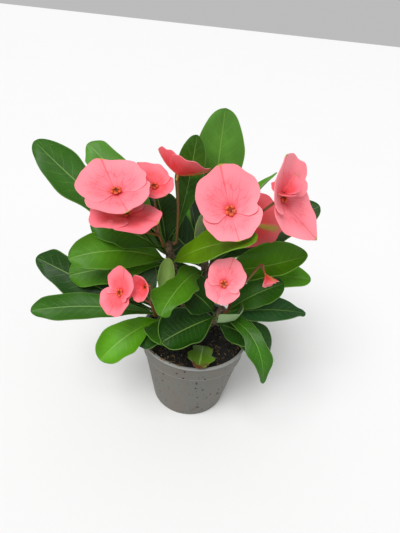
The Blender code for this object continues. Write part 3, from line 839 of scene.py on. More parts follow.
def make_leaf(node, leaf_look, materials):
    look = settings().leaf
    tone, lobed, curl, blunt, wide = leaf_look
    form = LeafForm(node, 0.0 if tone == "scorched" else look.reach_in)
    dice = random.Random(node)
    turns = [dice.uniform(0, math.tau) for _ in range(6)]
    waves = [dice.uniform(1.6, 2.4), dice.uniform(3.2, 4.6)]
    start = form.knots[0]
    known = {}

    def share_of(along):
        return 1 - (1 - along) ** 1.5

    def stretch(side, share):
        """How far the margin swings in and out along the leaf."""
        fade = eased(0.12, 0.35, share) * eased(1.0, 0.9, share)
        turn = 0 if side > 0 else 2
        swing = math.sin(math.tau * waves[0] * share + turns[turn])
        ripple = 0.45 * math.sin(math.tau * waves[1] * share + turns[turn + 1])
        return 1 + lobed * fade * (swing + ripple)

    def place_of(across, along):
        share = share_of(along)
        if along not in known:
            known[along] = form.at(start + share * (form.length - start))
        middle, lines, up, half = known[along]
        side = 1 - 2 * across
        rounded = form.widest_half * math.sqrt(max(0.0, 1 - form.beyond_widest(share) ** TIP_POWER))
        blade = half + max(0.0, rounded - half) * blunt * eased(0.5, 0.7, share)
        blade = max(blade * (1 + (wide - 1) * eased(0.1, 0.4, share)), LEAF_TIP_BLUNT)
        offset = Vector((0, 0, 0))
        for line, weight in zip(lines, line_weights(side)):
            offset += line * weight
        offset *= blade * stretch(side, share)
        inside = min(1.0, blade / (6 * MM))
        groove = -look.midrib_depth * math.exp(-((side * blade / (1.3 * MM)) ** 2)) * inside
        count = SIDE_VEINS * (share - 0.13 * abs(side)) + (0.5 if side < 0 else 0.0)
        quilt = look.quilting * math.cos(math.tau * count) * inside * abs(side) * (1 - side**4)
        rolled = curl * blade * side**6 * (1 + 0.5 * math.sin(math.tau * 1.3 * share + turns[5]))
        return middle + offset + up * (groove + quilt + rolled)

    leaf = add_grid(node.replace("leaf_", "leaf_blade_"), LEAF_COLUMNS, LEAF_ROWS)
    place_grid(leaf, place_of, lambda across, along: (across, share_of(along)))
    leaf.data.materials.append(materials[tone])
    leaf.data.materials.append(materials["underside"])
    apply_modifier(
        leaf,
        "SOLIDIFY",
        thickness=look.thickness,
        offset=0.0,
        use_even_offset=False,
        material_offset=1,
        material_offset_rim=0,
    )
    smooth(leaf, 60)
    return finish_piece(leaf, slot_of(node), node)


class EUPHORBIA_OT_leaves(bpy.types.Operator):
    """Model every leaf with its midrib, side veins, waxy upper side and paler back"""

    bl_idname = "euphorbia.leaves"
    bl_label = "Leaves"

    def execute(self, context):
        look = settings().leaf
        materials = {"underside": leaf_under_material(look), "scorched": scorched_material(look)}
        for tone in ("bright", "middle", "bluish", "dark", "grey", "lime", "olive", "pale"):
            materials[tone] = leaf_upper_material("leaf " + tone, getattr(look, tone), look)
        for node, leaf_look in LEAF_LOOKS.items():
            make_leaf(node, leaf_look, materials)
        return {"FINISHED"}


# ---------------------------------------------------------------- flower heads

BRACT_COLUMNS = 44
BRACT_ROWS = 18
BRACT_SPAN = math.radians(122)  # from a bract's midrib to the end of its lobe
BRACT_START = 1.2 * MM
CUP_RADIUS = 3.1 * MM
CUP_HEIGHT = 3.2 * MM
NECK_LENGTH = 5.6 * MM
YOUNG_STANDS = 5.0 * MM
RIM_RING = 3  # which ring from the centre is the bracts' rim



class HeadLook(NamedTuple):
    """How a flower head differs from a flat one. Cups are shares of its size."""

    tone: str = "pink"
    cup_one: float = 0.06
    cup_two: float = 0.06
    ruffled: float = 1.0
    turn: float = 0.0
    notch: float = 0.78
    pointed: float = 0.0
    young: float = 0.0
    tipped: float = 0.0


# The heads behind, under, low and hidden take the deep pink as painted shade; the bud takes it as its
# young colour.
HEAD_LOOKS = {
    "flower_left_large": HeadLook(turn=0.3),
    "flower_left_behind": HeadLook(tone="deep", turn=1.4),
    "flower_left_under": HeadLook("deep", -0.10, -0.06, 1.6, 2.2),
    "flower_top": HeadLook("pink", 0.34, 0.50, 1.2, 0.6, 0.90, 0.0, 0.0, -42),
    "flower_middle_large": HeadLook(cup_one=0.10, cup_two=0.04, turn=2.6, notch=0.72),
    "flower_middle_behind": HeadLook("deep", 0.04, 0.04, 1.2, 0.9),
    "flower_right_open": HeadLook("pink", -0.06, 0.26, 2.4, 1.9, 0.62, 0.22, 0.38),
    "flower_left_low": HeadLook("deep", 0.20, -0.04, 2.2, 0.2, 0.52, 0.10),
    "flower_left_bud": HeadLook("deep", 0.34, 0.34, 0.6, 1.0, tipped=-18),
    "flower_front_middle": HeadLook(cup_one=0.10, cup_two=0.02, ruffled=1.2, turn=2.0, notch=0.7),
    "flower_right_bud": HeadLook("pink", 0.35, 0.35, 0.4, 0.5),
    "flower_left_hidden": HeadLook(tone="deep", turn=1.7),
}


class FlowerForm:
    """A flower head's place, its facing, and the reach and the lift of its two bracts."""

    def __init__(self, node):
        poles, rings = read_rings(node, FLOWER_CORNERS, FLOWER_RINGS)
        if spread(rings[0]) < spread(rings[-1]):
            poles.reverse()
            rings.reverse()
        self.place = (poles[0] + poles[1]) / 2
        self.facing = (poles[0] - poles[1]).normalized()
        rim = rings[RIM_RING]
        half = FLOWER_CORNERS // 2
        ways = []
        for point in rim:
            away = point - self.place
            height = away.dot(self.facing)
            flat = away - self.facing * height
            ways.append((flat, math.hypot(flat.length, height), math.atan2(height, flat.length)))
        first = max(range(half), key=lambda i: ways[i][1] + ways[i + half][1])
        one, two = ways[first], ways[first + half]
        if two[1] > one[1]:
            one, two = two, one
        self.first = one[0].normalized()
        self.second = self.facing.cross(self.first)
        self.reaches = (one[1], two[1])
        self.lifts = (one[2], two[2])

    def tip(self, angle):
        """The head tips about the line through its two bracts."""
        turn = Matrix.Rotation(angle, 3, self.first)
        self.facing = turn @ self.facing
        self.second = turn @ self.second

    def inner(self, share):
        """The smaller head that opens inside this one."""
        young = copy.copy(self)
        young.place = self.place + self.facing * YOUNG_STANDS - self.first * YOUNG_STANDS * 0.5
        young.facing = (self.facing - self.first * 0.6).normalized()
        young.first = self.second
        young.second = young.facing.cross(young.first).normalized()
        young.first = young.second.cross(young.facing)
        young.reaches = tuple(reach * share for reach in self.reaches)
        young.lifts = (0.3, 0.3)
        return young


def make_bract(name, form, which, look, style, materials):
    cupped = (style.cup_one, style.cup_two)[which]
    facing_one = 1 if which == 0 else -1
    reach_one, reach_two = form.reaches
    lift_one, lift_two = form.lifts

    def place_of(across, along):
        side = 2 * across - 1
        angle = side * BRACT_SPAN + (0.0 if which == 0 else math.pi)
        lean = math.cos(angle)
        reach = (reach_one + reach_two) / 2 + (reach_one - reach_two) / 2 * lean
        reach *= style.notch + (1 - style.notch) * abs(lean) ** 0.7
        corner = max(0.0, (abs(side) - 0.62) / 0.38)
        reach *= 1 - 0.42 * corner**2.2
        reach *= 1 + 0.035 * math.exp(-((side / 0.05) ** 2))
        if which == 0:
            reach *= 1 + style.pointed * (math.exp(-((side / 0.28) ** 2)) - 0.5)
        reach *= 1 + 0.025 * math.sin(7 * angle + style.turn) + 0.012 * math.sin(13 * angle)
        out = BRACT_START + (reach - BRACT_START) * along
        lift = (lift_one + lift_two) / 2 + (lift_one - lift_two) / 2 * lean
        share = out / max(reach_one, reach_two)
        waved = look.ruffle * style.ruffled * share**2
        ruffle = waved * math.sin(3 * angle + style.turn + 1.3 * which)
        ruffle += 0.4 * waved * share * math.sin(8 * angle + 2 * style.turn)
        crease = -0.05 * math.exp(-((side / 0.07) ** 2)) * share * (1.2 - share)
        cup = cupped * share**2
        size = (reach_one + reach_two) / 2
        overlap = facing_one * 0.5 * MM * eased(0.45, 0.8, abs(side))
        settle = 0.35 * MM * eased(0.0, 0.3, along)
        flat = out * math.cos(lift)
        height = out * math.sin(lift) + size * (ruffle + crease + cup) + overlap + settle
        way = form.first * math.cos(angle) + form.second * math.sin(angle)
        return form.place + way * flat + form.facing * height

    bract = add_grid(f"{name}_bract_{which}", BRACT_COLUMNS, BRACT_ROWS)
    place_grid(bract, place_of, lambda across, along: (across, along))
    bract.data.materials.append(materials[style.tone])
    bract.data.materials.append(materials["back"])
    # place_of leaves the grid's faces looking back along the stalk, so they are turned over
    make_active(bract)
    bpy.ops.object.mode_set(mode="EDIT")
    bpy.ops.mesh.select_all(action="SELECT")
    bpy.ops.mesh.flip_normals()
    bpy.ops.object.mode_set(mode="OBJECT")
    apply_modifier(
        bract,
        "SOLIDIFY",
        thickness=look.thickness,
        offset=0.0,
        use_even_offset=False,
        material_offset=1,
        material_offset_rim=0,
    )
    return bract


def make_centre(materials):
    """The cup, its five lobes and its stamens, upright at the origin. It is made once."""
    gland, pollen, neck_green = materials["gland"], materials["pollen"], materials["neck"]
    deselect_all()
    bpy.ops.mesh.primitive_cone_add(
        vertices=20, radius1=0.9 * MM, radius2=CUP_RADIUS, depth=CUP_HEIGHT, end_fill_type="NGON",
        location=(0, 0, CUP_HEIGHT / 2 - 0.4 * MM),
    )
    cup = named("cup")
    bpy.ops.object.mode_set(mode="EDIT")
    bpy.ops.mesh.select_all(action="DESELECT")
    shape = bmesh.from_edit_mesh(cup.data)
    for face in shape.faces:
        face.select = face.normal.z > 0.9
    bmesh.update_edit_mesh(cup.data)
    bpy.ops.mesh.inset(thickness=0.45 * MM)
    bpy.ops.transform.translate(value=(0, 0, -0.9 * MM))
    bpy.ops.mesh.inset(thickness=0.5 * MM)
    bpy.ops.transform.translate(value=(0, 0, -0.2 * MM))
    bpy.ops.object.mode_set(mode="OBJECT")
    cup.data.materials.append(gland)
    bpy.ops.object.transform_apply(location=True)
    pieces = [cup]
    for lobe in range(5):
        turn = math.tau * lobe / 5
        deselect_all()
        bpy.ops.mesh.primitive_uv_sphere_add(segments=12, ring_count=8, radius=1.6 * MM)
        made = named("lobe")
        made.data.materials.append(gland)
        squash = Matrix.Diagonal((0.78, 1.15, 0.42, 1.0))
        out = Matrix.Translation((CUP_RADIUS * 0.98, 0, CUP_HEIGHT - 0.55 * MM))
        made.data.transform(Matrix.Rotation(turn, 4, "Z") @ out @ squash)
        pieces.append(made)
    for stamen in range(7):
        turn = math.tau * stamen * 0.381966
        radius = (0.25 + 0.13 * stamen) * MM
        height = (1.5 - 0.12 * stamen) * MM
        deselect_all()
        bpy.ops.mesh.primitive_cylinder_add(vertices=6, radius=0.13 * MM, depth=height)
        thread = named("thread")
        thread.data.materials.append(neck_green)
        deselect_all()
        bpy.ops.mesh.primitive_uv_sphere_add(segments=8, ring_count=5, radius=0.45 * MM)
        anther = named("anther")
        anther.data.materials.append(pollen)
        anther.data.transform(Matrix.Translation((0, 0, height / 2)) @ Matrix.Diagonal((1, 0.7, 0.7, 1)))
        lean = Matrix.Rotation(0.25 + 0.03 * stamen, 4, "Y")
        base = Matrix.Translation((radius, 0, CUP_HEIGHT - 1.1 * MM + height / 2))
        for made in (thread, anther):
            made.data.transform(Matrix.Rotation(turn, 4, "Z") @ base @ lean)
            pieces.append(made)
    deselect_all()
    bpy.ops.mesh.primitive_cone_add(
        vertices=16, radius1=1.15 * MM, radius2=1.55 * MM, depth=NECK_LENGTH,
        location=(0, 0, -NECK_LENGTH / 2),
    )
    neck = named("neck")
    bpy.ops.object.transform_apply(location=True)
    neck.data.materials.append(neck_green)
    pieces.append(neck)
    centre = join(pieces, "flower centre")
    smooth(centre, 50)
    return centre


def make_flower(node, style, centre, materials):
    look = settings().flower
    form = FlowerForm(node)
    form.tip(math.radians(style.tipped))
    pieces = [make_bract(node, form, which, look, style, materials) for which in (0, 1)]
    size = min(1.0, 0.35 + max(form.reaches) / (48 * MM))
    scale = Matrix.Diagonal((size, size, max(size, 0.85), 1.0))
    pieces.append(copy_of(centre, turned_to(form.facing, form.place) @ scale))
    if style.young:
        inner = form.inner(style.young)
        bud = HeadLook("deep", 0.35, 0.25, 0.8, 1.0)
        pieces += [make_bract(node, inner, which, look, bud, materials) for which in (0, 1)]
    flower = join(pieces, node.replace("flower_", "flower_head_"))
    smooth(flower, 55)
    return finish_piece(flower, slot_of(node), node)


class EUPHORBIA_OT_flowers(bpy.types.Operator):
    """Model every flower head: two veined bracts round a cup with lobes and stamens"""

    bl_idname = "euphorbia.flowers"
    bl_label = "Flower heads"

    def execute(self, context):
        look = settings().flower
        materials = {
            "pink": bract_upper_material("bract pink", look.pink, look.pale, look),
            "deep": bract_upper_material("bract deep pink", look.deep, look.pink, look),
            "back": bract_under_material(look),
            "gland": mottled_material(
                "gland", look.gland, tinted(look.gland, 0.6), 500.0, 2500.0, 0.05 * MM, 0.3
            ),
            "pollen": mottled_material(
                "pollen", look.pollen, tinted(look.pollen, 0.3), 1500.0, 4000.0, 0.05 * MM, 0.8
            ),
            "neck": mottled_material(
                "flower neck", look.green, tinted(look.red, 0.5), 300.0, 1500.0, 0.05 * MM, 0.45
            ),
        }
        centre = make_centre(materials)
        for node, style in HEAD_LOOKS.items():
            make_flower(node, style, centre, materials)
        bpy.data.objects.remove(centre, do_unlink=True)
        return {"FINISHED"}


# ---------------------------------------------------------------- stem and stalks

STALK_VOXEL = 0.36 * MM
STEM_VOXEL = 0.62 * MM
BARK_DEPTH = 0.45 * MM
THORN_SIDES = 8
THORN_TRIES = 900
STALKS = ("stalk_left", "stalk_left_back", "stalk_top", "stalk_right", "stalk_low_left", "stalk_low_right")


def grown_from(node, name):
    """A copy of a solid's mesh with its corners merged."""
    made = frame["nodes"][node].copy()
    made.data = frame["nodes"][node].data.copy()
    for key in list(made.keys()):
        del made[key]
    made.parent = None
    bpy.context.scene.collection.objects.link(made)
    made.hide_render = False
    made.name = name
    made.data.name = name
    make_active(made)
    bpy.ops.object.mode_set(mode="EDIT")
    bpy.ops.mesh.select_all(action="SELECT")
    bpy.ops.mesh.remove_doubles(threshold=MERGE)
    bpy.ops.object.mode_set(mode="OBJECT")
    made.data.materials.clear()
    return made


def solid_tree(node):
    shape = merged_shape(node)
    tree = BVHTree.FromBMesh(shape)
    shape.free()
    return tree


def make_stalk(node, stem_tree, material):
    stalk = grown_from(node, node.replace("stalk_", "flower_stalk_"))
    nearest = None
    for vertex in stalk.data.vertices:
        spot, _, _, distance = stem_tree.find_nearest(vertex.co)
        if nearest is None or distance < nearest[0]:
            nearest = (distance, vertex.co.copy(), spot)
    _, here, there = nearest
    deselect_all()
    bpy.ops.mesh.primitive_uv_sphere_add(
        segments=16, ring_count=10, radius=1.6 * MM, location=here.lerp(there, 0.5)
    )
    joint = named("joint")
    bpy.ops.object.transform_apply(location=True)
    stalk = join([stalk, joint], node.replace("stalk_", "flower_stalk_"))
    apply_modifier(stalk, "REMESH", mode="VOXEL", voxel_size=STALK_VOXEL, use_smooth_shade=True)
    apply_modifier(stalk, "SMOOTH", factor=0.5, iterations=6)
    push_out(stalk, lambda point: 0.16 * MM + 0.12 * MM * noise.noise(point * 160))
    stalk.data.materials.clear()
    stalk.data.materials.append(material)
    smooth(stalk)
    return finish_piece(stalk, slot_of(node), node)


class EUPHORBIA_OT_stalks(bpy.types.Operator):
    """Grow the forked flower stalks from the tips of the branches"""

    bl_idname = "euphorbia.stalks"
    bl_label = "Flower stalks"

    def execute(self, context):
        look = settings().stem
        material = mottled_material(
            "flower stalk", look.stalk, look.stalk_red, 45.0, 1800.0, 0.06 * MM, 0.36
        )
        stem_tree = solid_tree("stem")
        for node in STALKS:
            make_stalk(node, stem_tree, material)
        return {"FINISHED"}


def make_thorn():
    """One thorn along +Z, a little bent, made once."""
    deselect_all()
    bpy.ops.mesh.primitive_cone_add(
        vertices=THORN_SIDES, radius1=0.75 * MM, radius2=0.08 * MM, depth=1.0, location=(0, 0, 0.5)
    )
    thorn = named("thorn")
    bpy.ops.object.transform_apply(location=True)
    bpy.ops.object.mode_set(mode="EDIT")
    bpy.ops.mesh.select_all(action="DESELECT")
    shape = bmesh.from_edit_mesh(thorn.data)
    for edge in shape.edges:
        low, high = sorted(vertex.co.z for vertex in edge.verts)
        edge.select = high - low > 0.5
    bmesh.update_edit_mesh(thorn.data)
    bpy.ops.mesh.subdivide(number_cuts=3)
    bpy.ops.object.mode_set(mode="OBJECT")
    for vertex in thorn.data.vertices:
        share = vertex.co.z
        slim = (1 - share) ** 0.6 if share < 1 else 1.0
        flare = 1 + 0.9 * max(0.0, 0.2 - share) / 0.2
        vertex.co.x = vertex.co.x * flare * (0.75 + 0.25 * slim) + 0.35 * MM * share**2
        vertex.co.y *= flare * 0.8
    return thorn


class EUPHORBIA_OT_stem(bpy.types.Operator):
    """Grow the thorny stem, with rough bark"""

    bl_idname = "euphorbia.stem"
    bl_label = "Stem and thorns"

    def execute(self, context):
        look = settings().stem
        stem = grown_from("stem", "thorny_stem")
        apply_modifier(stem, "REMESH", mode="VOXEL", voxel_size=STEM_VOXEL, use_smooth_shade=True)
        apply_modifier(stem, "SMOOTH", factor=0.5, iterations=5)
        surface = SOIL_HIGH.z

        def bark_height(point):
            rough = noise.fractal(point * 330, 0.6, 2.0, 4)
            knobs = max(0.0, noise.noise(point * 140))
            above = eased(surface - 4 * MM, surface, point.z)
            return above * BARK_DEPTH * (rough * 0.8 + knobs)

        push_out(stem, bark_height)
        stem.data.materials.clear()
        stem.data.materials.append(bark_material(look))
        thorn_material = mottled_material(
            "thorn", look.thorn, tinted(look.thorn, 0.5), 200.0, 2500.0, 0.05 * MM, 0.55
        )
        thorn = make_thorn()
        thorn.data.materials.append(thorn_material)
        dice = random.Random(7)
        faces = [face for face in stem.data.polygons if face.center.z > surface + 5 * MM]
        faces = dice.sample(faces, THORN_TRIES)
        placed = []
        thorns = []
        spots = [(face.center.copy(), face.normal.copy()) for face in faces]
        for spot, normal in spots:
            if len(placed) >= 130 or normal.z > 0.75:
                continue
            if any((spot - other).length < look.thorn_gap for other in placed):
                continue
            placed.append(spot)
            way = (normal + Vector((0, 0, dice.uniform(-0.1, 0.4)))).normalized()
            length = look.thorn_length * dice.uniform(0.45, 1.0)
            size = Matrix.Diagonal((0.7 + 0.3 * dice.random(), 1.0, length, 1.0))
            thorns.append(copy_of(thorn, turned_to(way, spot - normal * 0.5 * MM) @ size))
        bpy.data.objects.remove(thorn, do_unlink=True)
        stem = join([stem, *thorns], "thorny_stem")
        smooth(stem, 60)
        finish_piece(stem, slot_of("stem"), "stem")
        return {"FINISHED"}


# ---------------------------------------------------------------- soil

SOIL_GRID = 110
SOIL_ROUGH = 0.9 * MM
SOIL_EDGE_DROP = 0.8 * MM
CRUMB_KINDS = 8
CRUMB_SIZE = 1.5 * MM
RIM_CRUMBS = 60
RIM_FIBRES = 16
OVER_RIM_FROM = math.radians(205)
OVER_RIM_TO = math.radians(262)


def disc_point(across, along):
    """A square grid's point moved on to the unit disc, with even cells."""
    x, y = 2 * across - 1, 2 * along - 1
    return Vector((x * math.sqrt(1 - y * y / 2), y * math.sqrt(1 - x * x / 2), 0))


def soil_height(point):
    """How high the soil's surface is at a point, in metres, from lumps of several sizes."""
    lump = noise.fractal(Vector((point.x, point.y, 0.3)) * 70, 0.8, 2.0, 3)
    crumbly = noise.fractal(Vector((point.x, point.y, 1.7)) * 420, 0.5, 2.2, 4)
    share = point.length / SOIL_HIGH.x
    return SOIL_ROUGH * (1.2 * lump + 0.8 * crumbly) - SOIL_EDGE_DROP * share**2


def make_crumb_seeds(materials):
    seeds = []
    for kind in range(CRUMB_KINDS):
        deselect_all()
        bpy.ops.mesh.primitive_ico_sphere_add(subdivisions=1, radius=1.0)
        crumb = named("crumb")
        dice = random.Random(40 + kind)
        for vertex in crumb.data.vertices:
            vertex.co *= dice.uniform(0.65, 1.15)
        crumb.data.materials.append(materials[kind % len(materials)])
        seeds.append(crumb)
    return seeds


def scattered(dice, place, size):
    """The matrix that puts a crumb at a place, turned and squashed by chance."""
    spin = Matrix.Rotation(dice.uniform(0, math.tau), 4, "Z")
    tip = Matrix.Rotation(dice.uniform(0, math.tau), 4, "X")
    shape = Matrix.Diagonal((size, size * dice.uniform(0.6, 1.0), size * 0.7, 1.0))
    return Matrix.Translation(place) @ spin @ tip @ shape


def make_fibre(dice, material, start, turn, length, lift):
    """A thin bent fibre: a short cylinder that is drawn along a curve."""
    deselect_all()
    bpy.ops.mesh.primitive_cylinder_add(vertices=4, radius=1.0, depth=1.0, end_fill_type="NGON")
    fibre = named("fibre")
    bpy.ops.object.mode_set(mode="EDIT")
    bpy.ops.mesh.select_all(action="DESELECT")
    shape = bmesh.from_edit_mesh(fibre.data)
    for edge in shape.edges:
        low, high = sorted(vertex.co.z for vertex in edge.verts)
        edge.select = high - low > 0.5
    bmesh.update_edit_mesh(fibre.data)
    bpy.ops.mesh.subdivide(number_cuts=4)
    bpy.ops.object.mode_set(mode="OBJECT")
    bend = dice.uniform(-1.4, 1.4)
    radius = dice.uniform(0.12, 0.28) * MM
    for vertex in fibre.data.vertices:
        share = vertex.co.z + 0.5
        heading = turn + bend * share
        along = Vector((math.cos(heading), math.sin(heading), 0)) * length * share
        arch = Vector((0, 0, lift * 4 * share * (1 - share)))
        side = Vector((-math.sin(heading), math.cos(heading), 0)) * vertex.co.x * radius
        taper = 1 - 0.6 * abs(2 * share - 1)
        vertex.co = start + along + arch + (side + Vector((0, 0, vertex.co.y * radius))) * taper
    fibre.data.materials.append(material)
    return fibre


class EUPHORBIA_OT_soil(bpy.types.Operator):
    """Model the compost with its crumbs and fibres"""

    bl_idname = "euphorbia.soil"
    bl_label = "Soil"

    def execute(self, context):
        look = settings().soil
        radius = SOIL_HIGH.x - 0.1 * MM
        top = SOIL_HIGH.z - 1.2 * MM
        soil = add_grid("compost", SOIL_GRID, SOIL_GRID)

        def place_of(across, along):
            flat = disc_point(across, along) * radius
            return Vector((flat.x, flat.y, top + soil_height(flat)))

        place_grid(soil, place_of, lambda across, along: (across, along))
        make_active(soil)
        bpy.ops.object.mode_set(mode="EDIT")
        bpy.ops.mesh.select_all(action="SELECT")
        bpy.ops.mesh.region_to_loop()
        bpy.ops.mesh.extrude_region_move(TRANSFORM_OT_translate={"value": (0, 0, -30 * MM)})
        narrow = 0.9
        bpy.ops.transform.resize(value=(narrow, narrow, 0.0), center_override=(0, 0, top - 30 * MM))
        bpy.ops.mesh.extrude_region_move(
            TRANSFORM_OT_translate={"value": (0, 0, SOIL_LOW.z - top + 30 * MM)}
        )
        bpy.ops.transform.resize(value=(0.84, 0.84, 1.0), center_override=(0, 0, SOIL_LOW.z))
        bpy.ops.mesh.edge_face_add()
        bpy.ops.object.mode_set(mode="OBJECT")
        face_outward(soil)
        damp = mottled_material("damp compost", look.dark, tinted(look.dark, 0.4), 420.0, 1500.0,
                                0.5 * MM, 0.75)
        dry = mottled_material("dry crumb", look.light, look.dark, 600.0, 1800.0, 0.2 * MM, 0.85)
        fibrous = mottled_material("fibre", look.fibre, tinted(look.fibre, 0.45), 300.0, 1500.0,
                                   0.05 * MM, 0.8)
        soil.data.materials.append(damp)
        smooth(soil, 40)
        dice = random.Random(3)
        pieces = [soil]
        russet = mottled_material(
            "russet crumb", look.russet, look.dark, 500.0, 1800.0, 0.2 * MM, 0.85
        )
        seeds = make_crumb_seeds((damp, dry, russet, fibrous))
        for number in range(look.crumbs):
            turn = dice.uniform(0, math.tau)
            near_edge = number % 2 == 0
            share = dice.uniform(0.84, 0.985) if near_edge else math.sqrt(dice.random()) * 0.97
            flat = Vector((math.cos(turn), math.sin(turn), 0)) * radius * share
            size = dice.uniform(0.35, 1.0) ** 2 * CRUMB_SIZE
            flat.z = top + soil_height(flat) + 0.25 * size
            dark = dice.random() < (0.35 if near_edge else 0.8)
            kind = dice.randrange(0, CRUMB_KINDS, 4) if dark else dice.randrange(CRUMB_KINDS)
            pieces.append(copy_of(seeds[kind], scattered(dice, flat, size)))
        lip_radius = POT_HIGH.x - settings().pot.lip_proud
        for number in range(RIM_CRUMBS):
            turn = dice.uniform(OVER_RIM_FROM, OVER_RIM_TO)
            inward = dice.uniform(0.0, 2.6) * MM
            flat = Vector((math.cos(turn), math.sin(turn), 0)) * (lip_radius + 0.3 * MM - inward)
            size = dice.uniform(0.4, 1.2) * MM
            flat.z = POT_HIGH.z + 0.4 * size - 0.8 * inward
            pieces.append(copy_of(seeds[dice.randrange(1, 4)], scattered(dice, flat, size)))
        for number in range(look.fibres):
            turn = dice.uniform(0, math.tau)
            share = dice.uniform(0.35, 0.93)
            flat = Vector((math.cos(turn), math.sin(turn), 0)) * radius * share
            flat.z = top + soil_height(flat) + 0.6 * MM
            length = dice.uniform(2.5, 8.0) * MM
            heading = dice.uniform(0, math.tau)
            fibre = make_fibre(dice, fibrous, flat, heading, length, dice.uniform(0.0, 1.0) * MM)
            pieces.append(fibre)
        for number in range(RIM_FIBRES):
            turn = dice.uniform(OVER_RIM_FROM, OVER_RIM_TO)
            flat = Vector((math.cos(turn), math.sin(turn), 0)) * radius * 0.99
            flat.z = top + 1.0 * MM
            length = dice.uniform(4.0, 7.5) * MM
            heading = turn + dice.uniform(-0.5, 0.5)
            pieces.append(make_fibre(dice, fibrous, flat, heading, length, 3.6 * MM))
        for seed in seeds:
            bpy.data.objects.remove(seed, do_unlink=True)
        soil = join(pieces, "compost")
        finish_piece(soil, slot_of("soil"), "soil")
        return {"FINISHED"}


# ---------------------------------------------------------------- pot

POT_STEPS = 128
DRAIN_HOLES = 8
DRAIN_HOLE_RADIUS = 3.6 * MM
DRAIN_CIRCLE = 22.0 * MM


def pot_profile(look):
    """The pot's outline from the middle of its floor, over the rim and down to the underside."""
    height = POT_HIGH.z
    rim = POT_HIGH.x
    lip = rim - look.lip_proud
    foot_height = height - look.collar_height
    collar_foot = rim - 2.5 * MM
    body_top = collar_foot - look.collar_step
    base = rim - 15.5 * MM
    wall = look.wall
    floor = look.floor
    inside_base = base - wall + (body_top - base) * floor / foot_height
    return [
        (0.0, floor),
        (inside_base - 1.6 * MM, floor),
        (inside_base - 0.5 * MM, floor + 0.4 * MM),
        (inside_base, floor + 1.5 * MM),
        (body_top - wall, foot_height - 1.0 * MM),
        (body_top - wall + 0.15 * MM, foot_height + 0.8 * MM),
        (lip - wall, height - 0.9 * MM),
        (lip - wall + 0.25 * MM, height - 0.2 * MM),
        (lip - wall + 0.7 * MM, height),
        (rim - 0.8 * MM, height),
        (rim - 0.2 * MM, height - 0.25 * MM),
        (rim, height - 0.8 * MM),
        (rim, height - look.lip_height + 0.7 * MM),
        (rim - 0.25 * MM, height - look.lip_height + 0.1 * MM),
        (lip + 0.15 * MM, height - look.lip_height - 0.3 * MM),
        (lip, height - look.lip_height - 0.9 * MM),
        (collar_foot + 0.05 * MM, foot_height + 1.1 * MM),
        (collar_foot - 0.15 * MM, foot_height + 0.3 * MM),
        (collar_foot - 0.6 * MM, foot_height - 0.05 * MM),
        (body_top, foot_height - 0.4 * MM),
        (body_top - 0.1 * MM, foot_height - 1.2 * MM),
        (base + 0.25 * MM, 3.4 * MM),
        (base, 2.2 * MM),
        (base - 0.25 * MM, 1.2 * MM),
        (base - 0.8 * MM, 0.3 * MM),
        (base - 1.4 * MM, 0.0),
        (base - 4.4 * MM, 0.0),
        (base - 5.0 * MM, 1.8 * MM),
        (12.6 * MM, 1.8 * MM),
        (12.0 * MM, 0.0),
        (0.0, 0.0),
    ]


class EUPHORBIA_OT_pot(bpy.types.Operator):
    """Turn the nursery pot from its outline and drill its drain holes"""

    bl_idname = "euphorbia.pot"
    bl_label = "Pot"

    def execute(self, context):
        look = settings().pot
        outline = pot_profile(look)
        deselect_all()
        bpy.ops.mesh.primitive_plane_add(size=1.0)
        pot = named("nursery_pot")
        bpy.ops.object.mode_set(mode="EDIT")
        bpy.ops.mesh.delete(type="VERT")
        shape = bmesh.from_edit_mesh(pot.data)
        corners = [shape.verts.new((x, 0, z)) for x, z in outline]
        for before, after in zip(corners, corners[1:]):
            shape.edges.new((before, after))
        bmesh.update_edit_mesh(pot.data)
        bpy.ops.mesh.select_all(action="SELECT")
        bpy.ops.mesh.spin(steps=POT_STEPS, angle=math.tau, center=(0, 0, 0), axis=(0, 0, 1))
        bpy.ops.mesh.select_all(action="SELECT")
        bpy.ops.mesh.remove_doubles(threshold=0.00001)
        bpy.ops.mesh.select_all(action="SELECT")
        bpy.ops.mesh.dissolve_degenerate(threshold=0.000001)
        bpy.ops.mesh.select_all(action="SELECT")
        bpy.ops.mesh.normals_make_consistent(inside=False)
        bpy.ops.object.mode_set(mode="OBJECT")
        drills = []
        for hole in range(DRAIN_HOLES):
            turn = math.tau * (hole + 0.5) / DRAIN_HOLES
            deselect_all()
            bpy.ops.mesh.primitive_cylinder_add(
                vertices=40,
                radius=DRAIN_HOLE_RADIUS,
                depth=12 * MM,
                location=(DRAIN_CIRCLE * math.cos(turn), DRAIN_CIRCLE * math.sin(turn), 2 * MM),
            )
            drills.append(named("drill"))
        drill = join(drills, "drill")
        apply_modifier(pot, "BOOLEAN", operation="DIFFERENCE", solver="EXACT", object=drill)
        bpy.data.objects.remove(drill, do_unlink=True)
        pot.data.materials.clear()
        pot.data.materials.append(pot_material(look))
        smooth(pot, 24)
        finish_piece(pot, slot_of("pot"), "pot")
        return {"FINISHED"}


# ---------------------------------------------------------------- stage

CAMERA_PLACE = Vector((-1.4, -303.8, 342.0)) * MM
CAMERA_DOWN = math.radians(31.6)
CAMERA_ROLL = math.radians(6.3)
BACKDROP_SIZE = 60.0
SUN_ANGLE = math.radians(40)


def add_soft_sun(name, direction, strength):
    data = bpy.data.lights.new(name, "SUN")
    data.angle = SUN_ANGLE
    data.energy = strength
    light = bpy.data.objects.new(name, data)
    light.rotation_euler = Vector(direction).to_track_quat("-Z", "Y").to_euler()
    bpy.context.scene.collection.objects.link(light)
    return light


